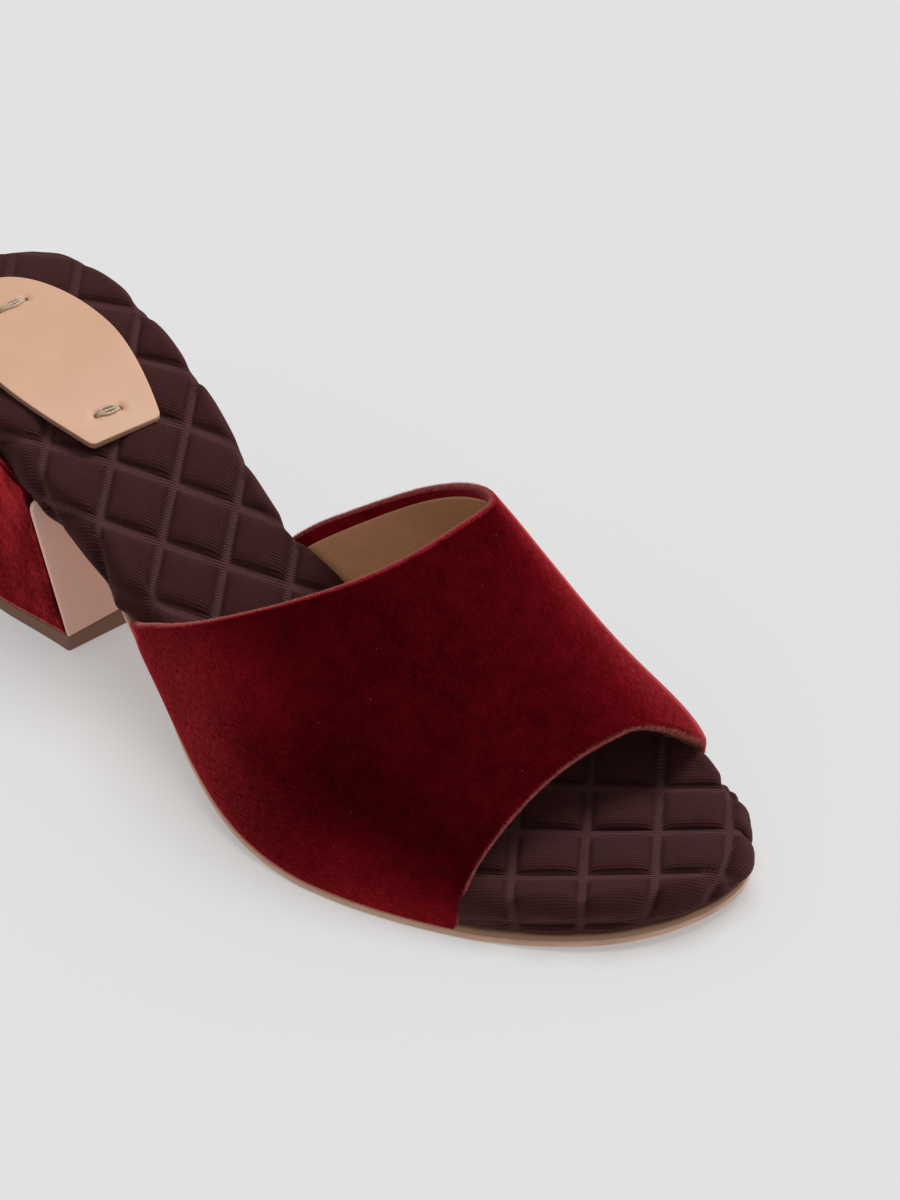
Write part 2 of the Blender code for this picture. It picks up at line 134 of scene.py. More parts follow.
# Vamp
VAMP_ACROSS = 230
VAMP_ALONG = 96
ROLL_STEPS = 9
WALL = 2.2
VELVET_DEPTHS = (0.0, WALL - 0.2)
LINING_DEPTHS = (WALL - 0.3, WALL + 0.3)
VAMP_INSET = 0.8
VAMP_RIDGE = 20.7            # x of the highest line
OUTER_FULLNESS = (2.4, 2.4)  # superellipse powers of the section, at the collar and at the toe
INNER_FULLNESS = (2.95, 2.45)
OUTER_BULGE = 1.5
SKIRT_HIGH = 15.0            # height over which the velvet flares out to its foot
CORNER_PULL = 1.3            # the outer corner of the collar is drawn in
PULL_REACH = 4.5
SWELL_REACH = 2.2
ROLL_LIGHT = np.radians(116)  # where the pile stands open on a rolled edge, from the outer face; a highlight is painted there too
ROLL_SPREAD = np.radians(42)
FOLD_NAP = (0.7, 0.3)        # nap of the velvet folded in, and how much its gathers change it
GATHER_WANDER = (2.0, 5.0)   # how far the gathers stray, and over what length
FIBRE_LEAN = 0.5
FIBRE_SHORT = 0.55           # shortest fibre, as a share of the longest
FIBRE_ROOT = 0.1             # share of its width that a fibre stands in the cloth
FIBRE_SEED = 11

# Heel
BREAST_P = 62.0
BREAST_X = -31.0
BREAST_SKEW = np.radians(5.0)
BREAST_TURNS = (30, 90)
HEEL_INSET = 1.0
HEEL_CORNER = 1.3
HEEL_TAPER = 0.76
HEEL_TUCK = 0.91
HEEL_BACK_WIDER = 0.04       # the foot narrows less towards the back
BACK_WIDER_SPAN = (5, 30)
CORNER_FLARE = 2.9           # the outer front corner stands out this much at the seat
FLARE_REACH = 18.0
HEEL_NAP = 0.28
CORNER_NAP = -0.45           # its pile stands up at that corner
CORNER_NAP_REACH = 8.0
COVER_THICK = 1.2
COVER_CORNER = 5.0
COVER_ROUND = 0.45
SEAT_RISE = 3.4              # the velvet is drawn up this much over the seat, on the outer side
SEAT_SIDE = 3.0              # over points this near to the outer edge
SEAT_REACH = (8.0, 34.0, 82.0, 93.0)
SEAT_LIP = 1.3               # thickness of the velvet drawn up
LIP_RINGS = ((1.0, SEAT_RISE), (1.0, 0.6), (0.5, 0.1))  # share of the lip, depth under its top
BREAST_RISE = 2.0            # its front leather's outer top corner stands this much over the seat
BREAST_SHOULDER = 9.0
TOP_PIECE_HIGH = 4.6
TOP_PIECE_CORNER = (-24.0, BREAST_P)  # where it has that height
TOP_PIECE_TILT = (0.05, 0.045)        # it grows thicker inwards and forwards
TOP_PIECE_LEAST = 2.6
TOP_PIECE_STEP = 0.6         # it stays this far behind the leather
TOP_PIECE_ROUND = 0.5

# Heel seat patch
PATCH_THICK = 1.4
PATCH_ROUND = 0.22
PATCH_BACK = np.array([-0.6, 12.2])
PATCH_FRONT = np.array([-4.9, 66.9])
PATCH_LONG = np.linalg.norm(PATCH_FRONT - PATCH_BACK)
PATCH_WAY = (PATCH_FRONT - PATCH_BACK) / PATCH_LONG
PATCH_SIDE = np.array([PATCH_WAY[1], -PATCH_WAY[0]])
PATCH_WIDE_AT = 0.53
PATCH_WIDE = 34.5
PATCH_FRONT_WIDE = 20.0
PATCH_TAPER = 1.6
PATCH_BOW = 1.0              # its middle line bows outwards
PATCH_CORNER = 1.4
PATCH_WAVE = 0.12
DIMPLE = (0.55, 1.1)         # depth and reach of the dimple at a hole
# reach of the painted shade in a stitch hole
HOLE_REACH = 0.75
STRANDS = (("a", -0.9), ("b", 0.05), ("c", 0.95))    # name and bow of each strand of a stitch
STRAND_LIFT = 0.8            # share of its radius that a strand lies over the patch
STRAND_SINK = 1.2            # its ends go this deep into their holes
PLY = (0.08, 40.0)           # height of its two plies, and how far they wind

OUTLINE = (
    # turn, outer x, inner x
    (0, 0.6, 0.6),
    (20, -19.2, 19.7),
    (40, -29.9, 27.0),
    (60, -30.9, 22.8),
    (80, -32.8, 16.7),
    (100, -44.2, 27.5),
    (120, -40.2, 39.0),
    (140, -25.2, 41.3),
    (160, -6.5, 32.7),
    (180, 16.2, 16.2),
)
PROFILE = (
    # p, z of the underside
    (0, 57.4),
    (30, 53.6),
    (60, 45.5),
    (90, 29.7),
    (120, 12.3),
    (150, 1.8),
    (175, -0.4),
    (200, -0.3),
    (240, 3.1),
)
SECTIONS = (
    # p, height of the vamp over the sole, bulge of its inner side
    (95, 37.0, 5.5),
    (125, 64.5, 10.5),
    (155, 68.5, 6.8),
    (185, 41.0, 6.3),
    (203, 29.6, 5.7),
    (210, 26.7, 3.1),
    (215, 24.8, -1.2),
)
EDGES = (
    # share of the way over the foot, collar p, toe line p
    (0.0, 94.2, 202.1),
    (0.125, 117.0, 203.4),
    (0.25, 143.3, 203.8),
    (0.5, 159.6, 205.1),
    (0.75, 142.5, 211.5),
    (0.875, 119.2, 208.5),
    (1.0, 97.2, 205.5),
)
PAD_SWELLS = (
    # 1 for the outer side, how far the pad's edge swells out, and from where to where along the foot
    (1, 0.3, (-2, -1, 3, 14)),
    (0, 0.5, (-2, 4, 30, 37)),
    (0, 0.7, (8, 13, 16, 20)),
    (0, -0.2, (35, 38, 40, 43)),
    (0, 0.8, (61, 64, 78, 82)),
    (1, -1.2, (28, 46, 52, 60)),
    (1, -0.9, (47, 51, 54, 59)),
    (1, 0.7, (58, 62, 66, 72)),
    (1, -1.0, (68, 76, 82, 93)),
    (0, 0.4, (40, 44, 84, 97)),
    (0, 1.3, (203, 208, 214, 218)),
    (0, 1.0, (205, 210, 219.5, 222.5)),
    (0, 0.25, (218, 220, 226, 230)),
    (0, -0.7, (226, 231, 234, 237)),
    (0, 0.6, (237, 239, 241, 242)),
    (1, 0.5, (238, 239.5, 241, 242)),
)
NAP_AND_LIGHT_ZONES = (
    # where the vamp's pile lies over, with painted light and shade: mm over the foot, mm from the collar,
    # reach both ways, how much
    (33, 21, 13, 18, 0.34),
    (12, 14, 13, 14, -0.12),
    (22, 55, 15, 18, -0.06),
    (4, 100, 15, 24, 0.40),
    (18, 76, 12, 14, 0.12),
    (111, 22, 14, 20, 0.20),
    (108, 58, 10, 22, 0.18),
)
STITCHES = (
    # outer hole x and p, inner hole x and p
    ((-8.7, 60.3), (-1.8, 61.4)),
    ((-4.9, 22.4), (3.0, 22.9)),
)


# Curves

def smooth_curve(rows, column):
    """Natural cubic spline through one column of a table over its first, as a function of place."""
    x, y = (np.array([row[k] for row in rows], float) for k in (0, column))
    h = np.diff(x)
    last = len(x) - 1
    matrix = np.eye(last + 1)
    right = np.zeros(last + 1)
    for i in range(1, last):
        matrix[i, i - 1:i + 2] = h[i - 1], 2 * (h[i - 1] + h[i]), h[i]
        right[i] = 6 * ((y[i + 1] - y[i]) / h[i] - (y[i] - y[i - 1]) / h[i - 1])
    bend = np.linalg.solve(matrix, right)

    def value(at):
        i = np.clip(np.searchsorted(x, at, side="right") - 1, 0, last - 1)
        a, b = x[i + 1] - at, at - x[i]
        cubic = (bend[i] * a ** 3 + bend[i + 1] * b ** 3) / (6 * h[i])
        return cubic + (y[i] * a + y[i + 1] * b) / h[i] - (bend[i] * a + bend[i + 1] * b) * h[i] / 6

    return value


def closed_curve(values):
    """Periodic cubic B-spline through evenly spaced values, as a function of the row number."""
    count = len(values)
    own = np.eye(count)
    matrix = (np.roll(own, 1, 0) + 4 * own + np.roll(own, -1, 0)) / 6
    control = np.linalg.solve(matrix, np.array(values, float))

    def value(at):
        i = np.floor(at).astype(int)
        f = at - i
        weights = ((1 - f) ** 3, 3 * f ** 3 - 6 * f ** 2 + 4, 1 + 3 * f + 3 * f ** 2 - 3 * f ** 3, f ** 3)
        return sum(w * control[(i + k - 1) % count] for k, w in enumerate(weights)) / 6

    return value


def ease(value, start, end):
    """Smooth step from 0 at start to 1 at end."""
    t = np.clip((value - start) / (end - start), 0.0, 1.0)
    return t * t * (3 - 2 * t)


def bump_over(value, reach):
    """Smooth rise from 0 to 1 between the first two places of reach, and fall between the last two."""
    return ease(value, *reach[:2]) * (1 - ease(value, *reach[2:]))


def hill(distance, reach):
    """Bell curve: 1 at no distance, falling to 0 beyond a reach."""
    return np.exp(-(distance / reach) ** 2)


def unit(vectors):
    """Vectors scaled to length 1."""
    return vectors / np.maximum(np.linalg.norm(vectors, axis=-1, keepdims=True), 1e-9)


def run_of(points):
    """Distance along a polyline at each of its points."""
    return np.append(0, np.cumsum(np.linalg.norm(np.diff(points, axis=0), axis=1)))


OUTLINE_STEP = OUTLINE[1][0]
side_curve = closed_curve([row[1] for row in OUTLINE] + [row[2] for row in OUTLINE[-2:0:-1]])
floor_curve = smooth_curve(PROFILE, 1)
height_curve = smooth_curve(SECTIONS, 1)
bulge_curve = smooth_curve(SECTIONS, 2)
collar_curve = smooth_curve(EDGES, 1)
toe_curve = smooth_curve(EDGES, 2)


def underside(p):
    """Height of the sole's underside."""
    return np.maximum(floor_curve(p), 0.0)


def sole_top(p):
    """Height at which the pieces on the sole begin."""
    return underside(p) + SOLE_THICK + GAP


def outline(turns, inset=0.0):
    """Plan points x, p of the sole's edge at turns, moved inwards by inset."""
    def edge(turn):
        along = LENGTH / 2 * (1 - np.cos(np.radians(turn)))
        return np.stack([side_curve(turn / OUTLINE_STEP), along], axis=-1)

    way = unit(edge(turns + 0.5) - edge(turns - 0.5))
    inwards = np.stack([way[..., 1], -way[..., 0]], axis=-1)
    return edge(turns) + np.asarray(inset)[..., None] * inwards


def turn_at(p):
    """Turn of the outer edge at p."""
    return np.degrees(np.arccos(np.clip(1 - 2 * p / LENGTH, -1, 1)))


def spine(p, ends):
    """Points on the middle line of the sole, with its whole length squeezed between two ends."""
    at = ends[0] + (ends[1] - ends[0]) * np.clip(p / LENGTH, 0, 1)
    turn = turn_at(at)
    return np.column_stack([(outline(turn)[:, 0] + outline(-turn)[:, 0]) / 2, at])


def breast_turns(inset, ahead=0.0):
    """Turns at which the outline crosses the heel's front face, outer and inner."""
    found = []
    for side in (1, -1):
        turns = side * np.arange(*BREAST_TURNS, 0.1)
        x, p = outline(turns, inset).T
        line = BREAST_P + ahead + (x - BREAST_X) * np.tan(BREAST_SKEW)
        found.append(np.interp(0.0, p - line, turns))
    return np.array(found)


FINE_P = np.linspace(-KNIT_SPARE, LENGTH + KNIT_SPARE, 1089)
ARC = run_of(np.column_stack([FINE_P, underside(FINE_P)]))
FLAT_ALONG = ARC - np.interp(0, FINE_P, ARC) + QUILT_DRIFT[1] * ease(FINE_P, *DRIFT_SPAN)
HEEL_FRONT = outline(breast_turns(HEEL_INSET), HEEL_INSET)        # its two corners at the seat
FRONT_WAY = np.array([np.cos(BREAST_SKEW), np.sin(BREAST_SKEW)])  # inwards along the heel's front
BACK_WAY = np.array([FRONT_WAY[1], -FRONT_WAY[0]])                # straight back from it


# Meshes

def world(grid):
    """Points of the shoe's frame in metres."""
    x, p, z = np.moveaxis(grid, -1, 0)
    return np.stack([x, LENGTH / 2 - p, z], axis=-1) * MM


def grid_faces(rows, columns, closed):
    """Corner numbers of the quads over a grid of points, joined round its columns if closed."""
    index = np.arange(rows * columns).reshape(rows, columns)
    if closed:
        index = np.hstack([index, index[:, :1]])
    corners = (index[:-1, :-1], index[1:, :-1], index[1:, 1:], index[:-1, 1:])
    return np.stack(corners, axis=-1).reshape(-1, 4)


def mesh_of(name, points, faces, uv=None, **values):
    """Mesh from whole arrays: points (n, 3), faces (m, corners), and values at each point."""
    mesh = bpy.data.meshes.new(name)
    mesh.vertices.add(len(points))
    mesh.vertices.foreach_set("co", points.astype(np.float32).ravel())
    mesh.loops.add(faces.size)
    mesh.loops.foreach_set("vertex_index", faces.astype(np.int32).ravel())
    mesh.polygons.add(len(faces))
    mesh.polygons.foreach_set("loop_start", np.arange(0, faces.size, faces.shape[1], dtype=np.int32))
    mesh.update(calc_edges=True)
    if uv is not None:
        layer = mesh.uv_layers.new(name="UVMap")
        layer.uv.foreach_set("vector", uv[faces.ravel()].astype(np.float32).ravel())
    for key, value in values.items():
        layer = mesh.attributes.new(key, "FLOAT", "POINT")
        layer.data.foreach_set("value", value.astype(np.float32).ravel())
    return mesh


def close_mesh(mesh, distance=2e-6):
    """Merge the points that coincide along seams and poles, and turn the faces outwards."""
    bm = bmesh.new()
    bm.from_mesh(mesh)
    bmesh.ops.remove_doubles(bm, verts=bm.verts, dist=distance)
    bmesh.ops.dissolve_degenerate(bm, edges=bm.edges, dist=distance / 2)
    bmesh.ops.recalc_face_normals(bm, faces=bm.faces)
    if bm.calc_volume(signed=True) < 0:
        bmesh.ops.reverse_faces(bm, faces=bm.faces)
    bm.to_mesh(mesh)
    bm.free()


def add_piece(name, mesh, finish, slot, *nodes):
    """Object of the shoe from a mesh: it rides on the body and stands for the named solids."""
    mesh.shade_smooth()
    mesh.materials.append(finish)
    made = bpy.data.objects.new(name, mesh)
    bpy.context.scene.collection.objects.link(made)
    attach(made, "root")
    if nodes:
        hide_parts(*nodes)
    return made


def grid_piece(name, grid, finish, slot, *nodes, uv=None, **values):
    """Closed piece from a grid of points of the shoe's frame that is joined round its columns."""
    shape = grid.shape[:2]
    flat_uv = None if uv is None else uv.reshape(-1, 2) * MM
    full = {key: np.broadcast_to(value, shape) for key, value in values.items()}
    mesh = mesh_of(name, world(grid).reshape(-1, 3), grid_faces(*shape, True), flat_uv, **full)
    close_mesh(mesh)
    return add_piece(name, mesh, finish, slot, *nodes)


def capped(rings, steps=1):
    """Rings of a tube, with rows added that run in to the middle of its first and of its last ring."""
    share = np.arange(1, steps + 1)[:, None, None] / steps
    first, last = (ring + (ring.mean(axis=0) - ring) * share for ring in (rings[0], rings[-1]))
    return np.vstack([first[::-1], rings, last])


def outward_of(boundary):
    """Outward unit normals of a closed plan curve, by the turn of its tangent and its signed area."""
    ahead = np.roll(boundary, -1, 0)
    tangent = unit(ahead - np.roll(boundary, 1, 0))
    area = np.sum(boundary[:, 0] * ahead[:, 1] - ahead[:, 0] * boundary[:, 1])
    return np.sign(area) * np.column_stack([tangent[:, 1], -tangent[:, 0]])


def plate(boundary, centre, edge, top_steps, bottom_steps=3):
    """Rings over a closed plate, from the middle of its underside round its edge to that of its top.

    A ring of the edge is the boundary moved inwards by an inset, at a height; the rings of the two
    faces run in a straight line from there to the centre of each point. The edge is given as the
    insets (rings, points or 1), the heights and the lift angles of its rings. Returns the plan
    points (rings, points, 2), and the heights and the lift angles of the surface (rings, 1).
    """
    inset, height, lift = edge
    rim = boundary - inset[..., None] * outward_of(boundary)

    def face(start, steps):
        share = np.linspace(0, 1, steps + 1)[1:, None, None]
        return start * (1 - share) + centre * share

    def carried_on(values):
        return np.pad(values, (bottom_steps, top_steps), mode="edge")[:, None]

    plan = np.vstack([face(rim[0], bottom_steps)[::-1], rim, face(rim[-1], top_steps)])
    return plan, carried_on(height), np.radians(carried_on(lift))


def soft_edge(thick, radius, line=None, steps=4):
    """Edge of a plate with both corners rounded, and a scored line at a height of a depth if given."""
    lift = np.linspace(-90, 0, steps)
    bend = np.radians(lift)
    rings = [*zip(radius * (1 - np.cos(bend)), radius * (1 + np.sin(bend)), lift)]
    upper = [(inset, thick - height, -up) for inset, height, up in reversed(rings)]
    if line is not None:
        height, depth = line
        score = ((0.0, -depth), (depth, 0.0), (depth, 0.1), (0.0, depth))
        rings += [(inset, height + up, 0) for inset, up in score]
    inset, height, lift = np.array(rings + upper, float).T
    return inset[:, None], height, lift


def rounded(before, corner, after, radius, steps=6):
    """Points of a parabola that rounds a corner between two neighbours."""
    before, corner, after = (np.array(point, float) for point in (before, corner, after))
    start = corner + radius * unit(before - corner)
    end = corner + radius * unit(after - corner)
    s = np.linspace(0, 1, steps)[:, None]
    return (1 - s) ** 2 * start + 2 * s * (1 - s) * corner + s * s * end


def clear_of(points, corner, radius):
    """True for the points further than a radius from a corner."""
    return np.linalg.norm(points - corner, axis=1) > radius


def evenly(points, count):
    """A number of points evenly spaced round a closed polyline."""
    points = np.vstack([points, points[:1]])
    run = run_of(points)
    at = np.linspace(0, run[-1], count, endpoint=False)
    return np.column_stack([np.interp(at, run, column) for column in points.T])


# Materials

class Value:
    """Output of a node, to be multiplied, added to or ramped, each time by a new node."""

    def __init__(self, finish, output):
        self.finish = finish
        self.output = output

    def __mul__(self, other):
        return self.finish.node("ShaderNodeMath", {0: self, 1: other}, operation="MULTIPLY")

    def __add__(self, other):
        return self.finish.node("ShaderNodeMath", {0: self, 1: other}, operation="ADD")

    def ramp(self, start, end, low=0.0, high=1.0):
        """Value carried from start..end to low..high, held at both ends."""
        inputs = {"Value": self, "From Min": start, "From Max": end, "To Min": low, "To Max": high}
        return self.finish.node("ShaderNodeMapRange", inputs)


class Finish:
    """A new material: its node tree, its Principled shader, and short ways to add nodes."""

    def __init__(self, name, roughness, specular):
        self.material = bpy.data.materials.new(name)
        self.material.use_nodes = True
        self.tree = self.material.node_tree
        self.base = {"Roughness": roughness, "Specular IOR Level": specular}
        coordinates = self.tree.nodes.new("ShaderNodeTexCoord")
        self.object, self.uv = (Value(self, coordinates.outputs[kind]) for kind in ("Object", "UV"))

    def node(self, kind, inputs, output=0, **settings):
        """Output of a new node whose inputs are given as numbers, colours or other outputs."""
        made = self.tree.nodes.new(kind)
        for key, value in settings.items():
            setattr(made, key, value)
        self.feed(made, inputs)
        return Value(self, made.outputs[output])

    def feed(self, node, inputs):
        """Link outputs to the sockets of a node or set the sockets' own values, a colour as opaque."""
        for key, value in inputs.items():
            socket = node.inputs[key]
            if isinstance(value, Value):
                self.tree.links.new(value.output, socket)
            else:
                socket.default_value = (*value, 1.0) if socket.type == "RGBA" else value

    def stretched(self, scale, source=None):
        """Coordinates scaled by a different amount along each axis."""
        return self.node("ShaderNodeMapping", {"Vector": source or self.object, "Scale": scale})

    def noise(self, size, detail=2.0, source=None, roughness=0.5):
        """Cloudy noise with features of a size in millimetres."""
        inputs = {"Vector": source or self.object, "Scale": 1 / (size * MM), "Detail": detail}
        return self.node("ShaderNodeTexNoise", {**inputs, "Roughness": roughness})

    def cells(self, spacing):
        """Distance from the middles of cells of a spacing in millimetres."""
        return self.node("ShaderNodeTexVoronoi", {"Vector": self.object, "Scale": 1 / (spacing * MM)})

    def lint(self, spacing, size, patch, start):
        """Small dots of a size, a share of their spacing, in patches where a noise is over start."""
        return self.cells(spacing).ramp(size, size / 2) * self.noise(patch, 1.0).ramp(start, 0.6)

    def ribs(self, pitch, direction, wander):
        """Soft ridges at a pitch in millimetres along one axis of the UV map, wandering a little."""
        inputs = {"Vector": self.uv, "Scale": 2 * np.pi / (20 * pitch * MM), "Distortion": wander}
        inputs.update({"Detail": 1.0, "Detail Scale": 0.15})
        return self.node("ShaderNodeTexWave", inputs, 1, bands_direction=direction)

    def value(self, name):
        """Value that the mesh carries at each point."""
        return self.node("ShaderNodeAttribute", {}, "Fac", attribute_name=name)

    def mix(self, share, a, b):
        """Colour between a and b."""
        return self.node("ShaderNodeMix", {0: share, 6: a, 7: b}, 2, data_type="RGBA")

    def bump(self, height, distance, strength=1.0, below=None):
        """Normal that shows a height of a depth in millimetres, over another normal."""
        inputs = {"Height": height, "Distance": distance * MM, "Strength": strength}
        return self.node("ShaderNodeBump", inputs if below is None else {**inputs, "Normal": below})

    def done(self, colour, normal, **values):
        """The material, with the sockets of its shader fed."""
        given = {name.replace("_", " "): value for name, value in values.items()}
        sockets = {**self.base, "Base Color": colour, "Normal": normal, **given}
        self.feed(self.tree.nodes["Principled BSDF"], sockets)
        return self.material


def velvet_finish(colours, name, crush, crush_size, stretch, weave):
    """Cut pile: nearly black when seen end on, light at grazing angles, crushed here and there. The
    light at grazing angles is partly the shader's own sheen and partly painted sheen and highlight
    in the colour, which follow the angle of view.

    The point value nap says how far the pile lies over, and on the vamp it also places painted light
    and shade; shade is 1 where the pile opens on a rolled edge, where a highlight is also painted,
    with fine lines that run over the roll. Crush is the strength of the crushed patches. With weave
    the tufts follow the UV map, and without it they run down.
    """
    made = Finish(name, 0.95, 0.0)
    nap = made.value("nap")
    crushed = made.noise(crush_size, 3.0, made.stretched(stretch)).ramp(0.42, 0.62)
    brushed = made.noise(4.5, 4.0, roughness=0.65).ramp(0.35, 0.75)
    lay = made.stretched((1.0, 0.3, 1.0), made.uv) if weave else made.stretched((1.0, 1.0, 0.3))
    fibres = made.noise(0.55, 2.0, lay, 0.65)
    tufts = fibres.ramp(0.32, 0.72)
    # the nap places painted light and shade on the vamp as well as the pile's lie
    lie = (brushed * 0.16 + tufts * 0.15) * nap.ramp(0.0, 0.6, 1.0, 3.4) + nap + crushed * crush
    red = made.mix(lie, colours.velvet_dark, colours.velvet_light)
    facing = made.node("ShaderNodeLayerWeight", {"Blend": 0.5}, "Facing")
    standing = crushed.ramp(0.0, 1.0, 1 - 0.7 * crush, 1 + 1.3 * crush)
    # painted sheen: the colour grows lighter towards grazing angles of view, on top of the shader's own
    # sheen
    rim = (facing * facing).ramp(0.1, 0.9, 0.0, 0.9) * standing * tufts.ramp(0.0, 1.0, 0.25, 1.5)
    red = made.mix(rim, red, colours.velvet_painted_sheen)
    # fibre tips lighter where the velvet is lighter, painted sheen included, so partly a painted highlight
    tips_and_highlight = made.noise(0.45).ramp(0.56, 0.7) * (lie + rim).ramp(0.35, 1.0, 0.0, 0.07)
    # painted highlight along the silhouettes, where the surface is seen at grazing angles
    painted_fringe_highlight = facing.ramp(0.72, 1.0) * tufts.ramp(0.0, 1.0, 0.35, 1.1)
    lines = made.noise(0.9, 2.0, made.stretched((1.0, 0.2, 1.0), made.uv), 0.6)
    # open pile on the rolled edges, in a band that also paints a highlight along the top of the roll
    open_pile_and_highlight = made.value("shade") * lines.ramp(0.3, 0.7, 0.55, 1.0) * tufts.ramp(0.2, 0.8, 0.15, 1.25)
    for share in (tips_and_highlight, painted_fringe_highlight, open_pile_and_highlight):
        red = made.mix(share, red, colours.velvet_open_pile_and_highlight)
    red = made.mix(made.lint(3.2, 0.05, 9, 0.55) * 0.4, red, colours.velvet_lint)
    waves = made.bump(made.noise(7, 3.0), 0.5, 0.5)
    pile = made.bump(fibres, 0.34, 0.9, waves)
    sheen = standing * tufts.ramp(0.0, 1.0, 0.4, 1.45) * 0.75
    tint = colours.velvet_sheen
    return made.done(red, pile, Sheen_Weight=sheen, Sheen_Roughness=0.4, Sheen_Tint=tint)


def pile_finish(colours):
    """Single fibres of the pile."""
    made = Finish("velvet_pile", 0.8, 0.0)
    red = made.mix(made.noise(0.6, 1.0), colours.velvet_light, colours.velvet_fibre)
    fine = made.bump(made.noise(0.2, 1.0), 0.02)
    tint = colours.velvet_sheen
    return made.done(red, fine, Sheen_Weight=0.4, Sheen_Roughness=0.4, Sheen_Tint=tint)


def knit_finish(colours):
    """Fine ribbed knit: ribs along one set of quilt lines, loops across them, smoother in the grooves.

    The point value shade is 1 on the floor of a groove, which is painted lighter, partly as painted
    light; crease is 1 at the foot of its walls, where shade is painted; and comb is 1 before the
    grooves that the ribs run into, on the side of each cell that the light rakes, where they stand
    open with painted shade between them.
    """
    made = Finish("ribbed_knit", 0.9, 0.04)
    ribs_on_lit_side = made.value("comb_lit_side").ramp(0.0, 1.0, 0.25, 1.0)
    ribs = made.ribs(0.78, "X", 0.9) * ribs_on_lit_side
    loops = made.ribs(0.6, "Y", 1.2)
    # the groove floor is painted lighter than the cells, partly for its smoother knit and partly as
    # painted light
    tone = made.mix(made.value("shade"), colours.knit, colours.knit_groove_lit)
    # painted shade between the ribs, strongest on the side of each cell that the light rakes, and at the
    # creases along the grooves' walls
    between = ribs.ramp(0.5, 0.0) * (ribs_on_lit_side * 0.85)
    tone = made.mix(between + made.value("crease") * 0.65, tone, colours.knit_painted_shade)
    tone = made.mix(made.noise(2.2, 3.0).ramp(0.5, 0.8) * 0.5, tone, colours.knit_worn)
    tone = made.mix(made.lint(5.5, 0.03, 14, 0.52) * 0.5, tone, colours.velvet_lint)
    fuzz = made.bump(made.noise(0.3, 2.0), 0.05)
    surface = made.bump(ribs + loops * 0.3, 0.22, 0.8, fuzz)
    return made.done(tone, surface, Sheen_Weight=0.25, Sheen_Roughness=0.5, Sheen_Tint=colours.knit_sheen)


def leather_finish(colours, name, roughness, grain, depth, streak=None, marks=()):
    """Smooth leather: soft blotches, fine pores, and streaks where the cut edge shows its fibres.

    Each mark is a colour and the two point values of shade between which it takes over.
    """
    made = Finish(f"{name}_leather", roughness, 0.3)
    source = made.stretched(streak) if streak else None
    blotch = made.noise(9, 4.0, source, 0.6).ramp(0.35, 0.7)
    fine = made.noise(grain, 4.0, source, 0.7)
    tone = made.mix(blotch * 0.6 + fine * 0.4, getattr(colours, name), getattr(colours, f"{name}_shade"))
    for mark, low, high in marks:
        tone = made.mix(made.value("shade").ramp(low, high), tone, mark)
    pores = made.cells(grain * 0.6).ramp(0.0, 0.35)
    return made.done(tone, made.bump(fine + pores * 0.6, depth, 0.6))


def rubber_finish(colours):
    """Brown rubber with a sanded edge."""
    made = Finish("top_piece_rubber", 0.62, 0.35)
    sanded = made.noise(0.5, 3.0, made.stretched((1.0, 1.0, 6.0)))
    tone = made.mix(sanded.ramp(0.3, 0.8), colours.rubber, colours.rubber_worn)
    return made.done(tone, made.bump(sanded, 0.08, 0.6))


def thread_finish(colours):
    """Waxed thread."""
    made = Finish("waxed_thread", 0.45, 0.5)
    tone = made.mix(made.noise(0.8, 3.0).ramp(0.35, 0.75), colours.thread, colours.thread_shade)
    return made.done(tone, made.bump(made.noise(0.25, 2.0), 0.04))


def floor_finish(tone, glow):
    """Plain pale floor, lit from below like a light table so that shadows on it stay weak."""
    made = Finish("pale_floor", 0.95, 0.0)
    cloud = made.noise(400, 2.0)
    grey = made.mix(cloud, [tone] * 3, [tone * 0.99] * 3)
    return made.done(grey, made.bump(cloud, 0.01), Emission_Color=(1.0, 1.0, 1.0), Emission_Strength=glow)


# Vamp

def vamp_face(t, v):
    """Outer face of the vamp, t over the foot from the outer side, v from the collar to the toe line.

    A section is half a superellipse over the ridge line: x from the ridge to the edge by
    cos ** (2 / power), height by sin ** (2 / power), with the sides bulging at half height.
    """
    p = collar_curve(t) * (1 - v) + toe_curve(t) * v
    forward = np.clip((p - SECTIONS[0][0]) / (SECTIONS[-1][0] - SECTIONS[0][0]), 0, 1)

    def graded(pair):
        return pair[0] * (1 - forward) + pair[1] * forward

    outer_side = t < 0.5
    power = np.where(outer_side, graded(OUTER_FULLNESS), graded(INNER_FULLNESS))
    turn = turn_at(p)
    edge = np.where(outer_side, outline(turn)[..., 0] + VAMP_INSET, outline(-turn)[..., 0] - VAMP_INSET)
    rise = np.clip(np.sin(np.pi * t), 0, 1) ** (2 / power)
    bulge = np.where(outer_side, -OUTER_BULGE, bulge_curve(p)) * np.sin(np.pi * rise)
    reach = np.abs(np.cos(np.pi * t)) ** (2 / power)
    x = VAMP_RIDGE + (edge - VAMP_RIDGE) * reach + bulge
    return np.stack([x, p, sole_top(p) + height_curve(p) * rise], axis=-1)


def even_shares(count):
    """Values of t that divide the middle section of the vamp into equal lengths."""
    fine = np.linspace(0, 1, 2401)
    run = run_of(vamp_face(fine, 0.5))
    return np.interp(np.linspace(0, run[-1], count + 1), run, fine)


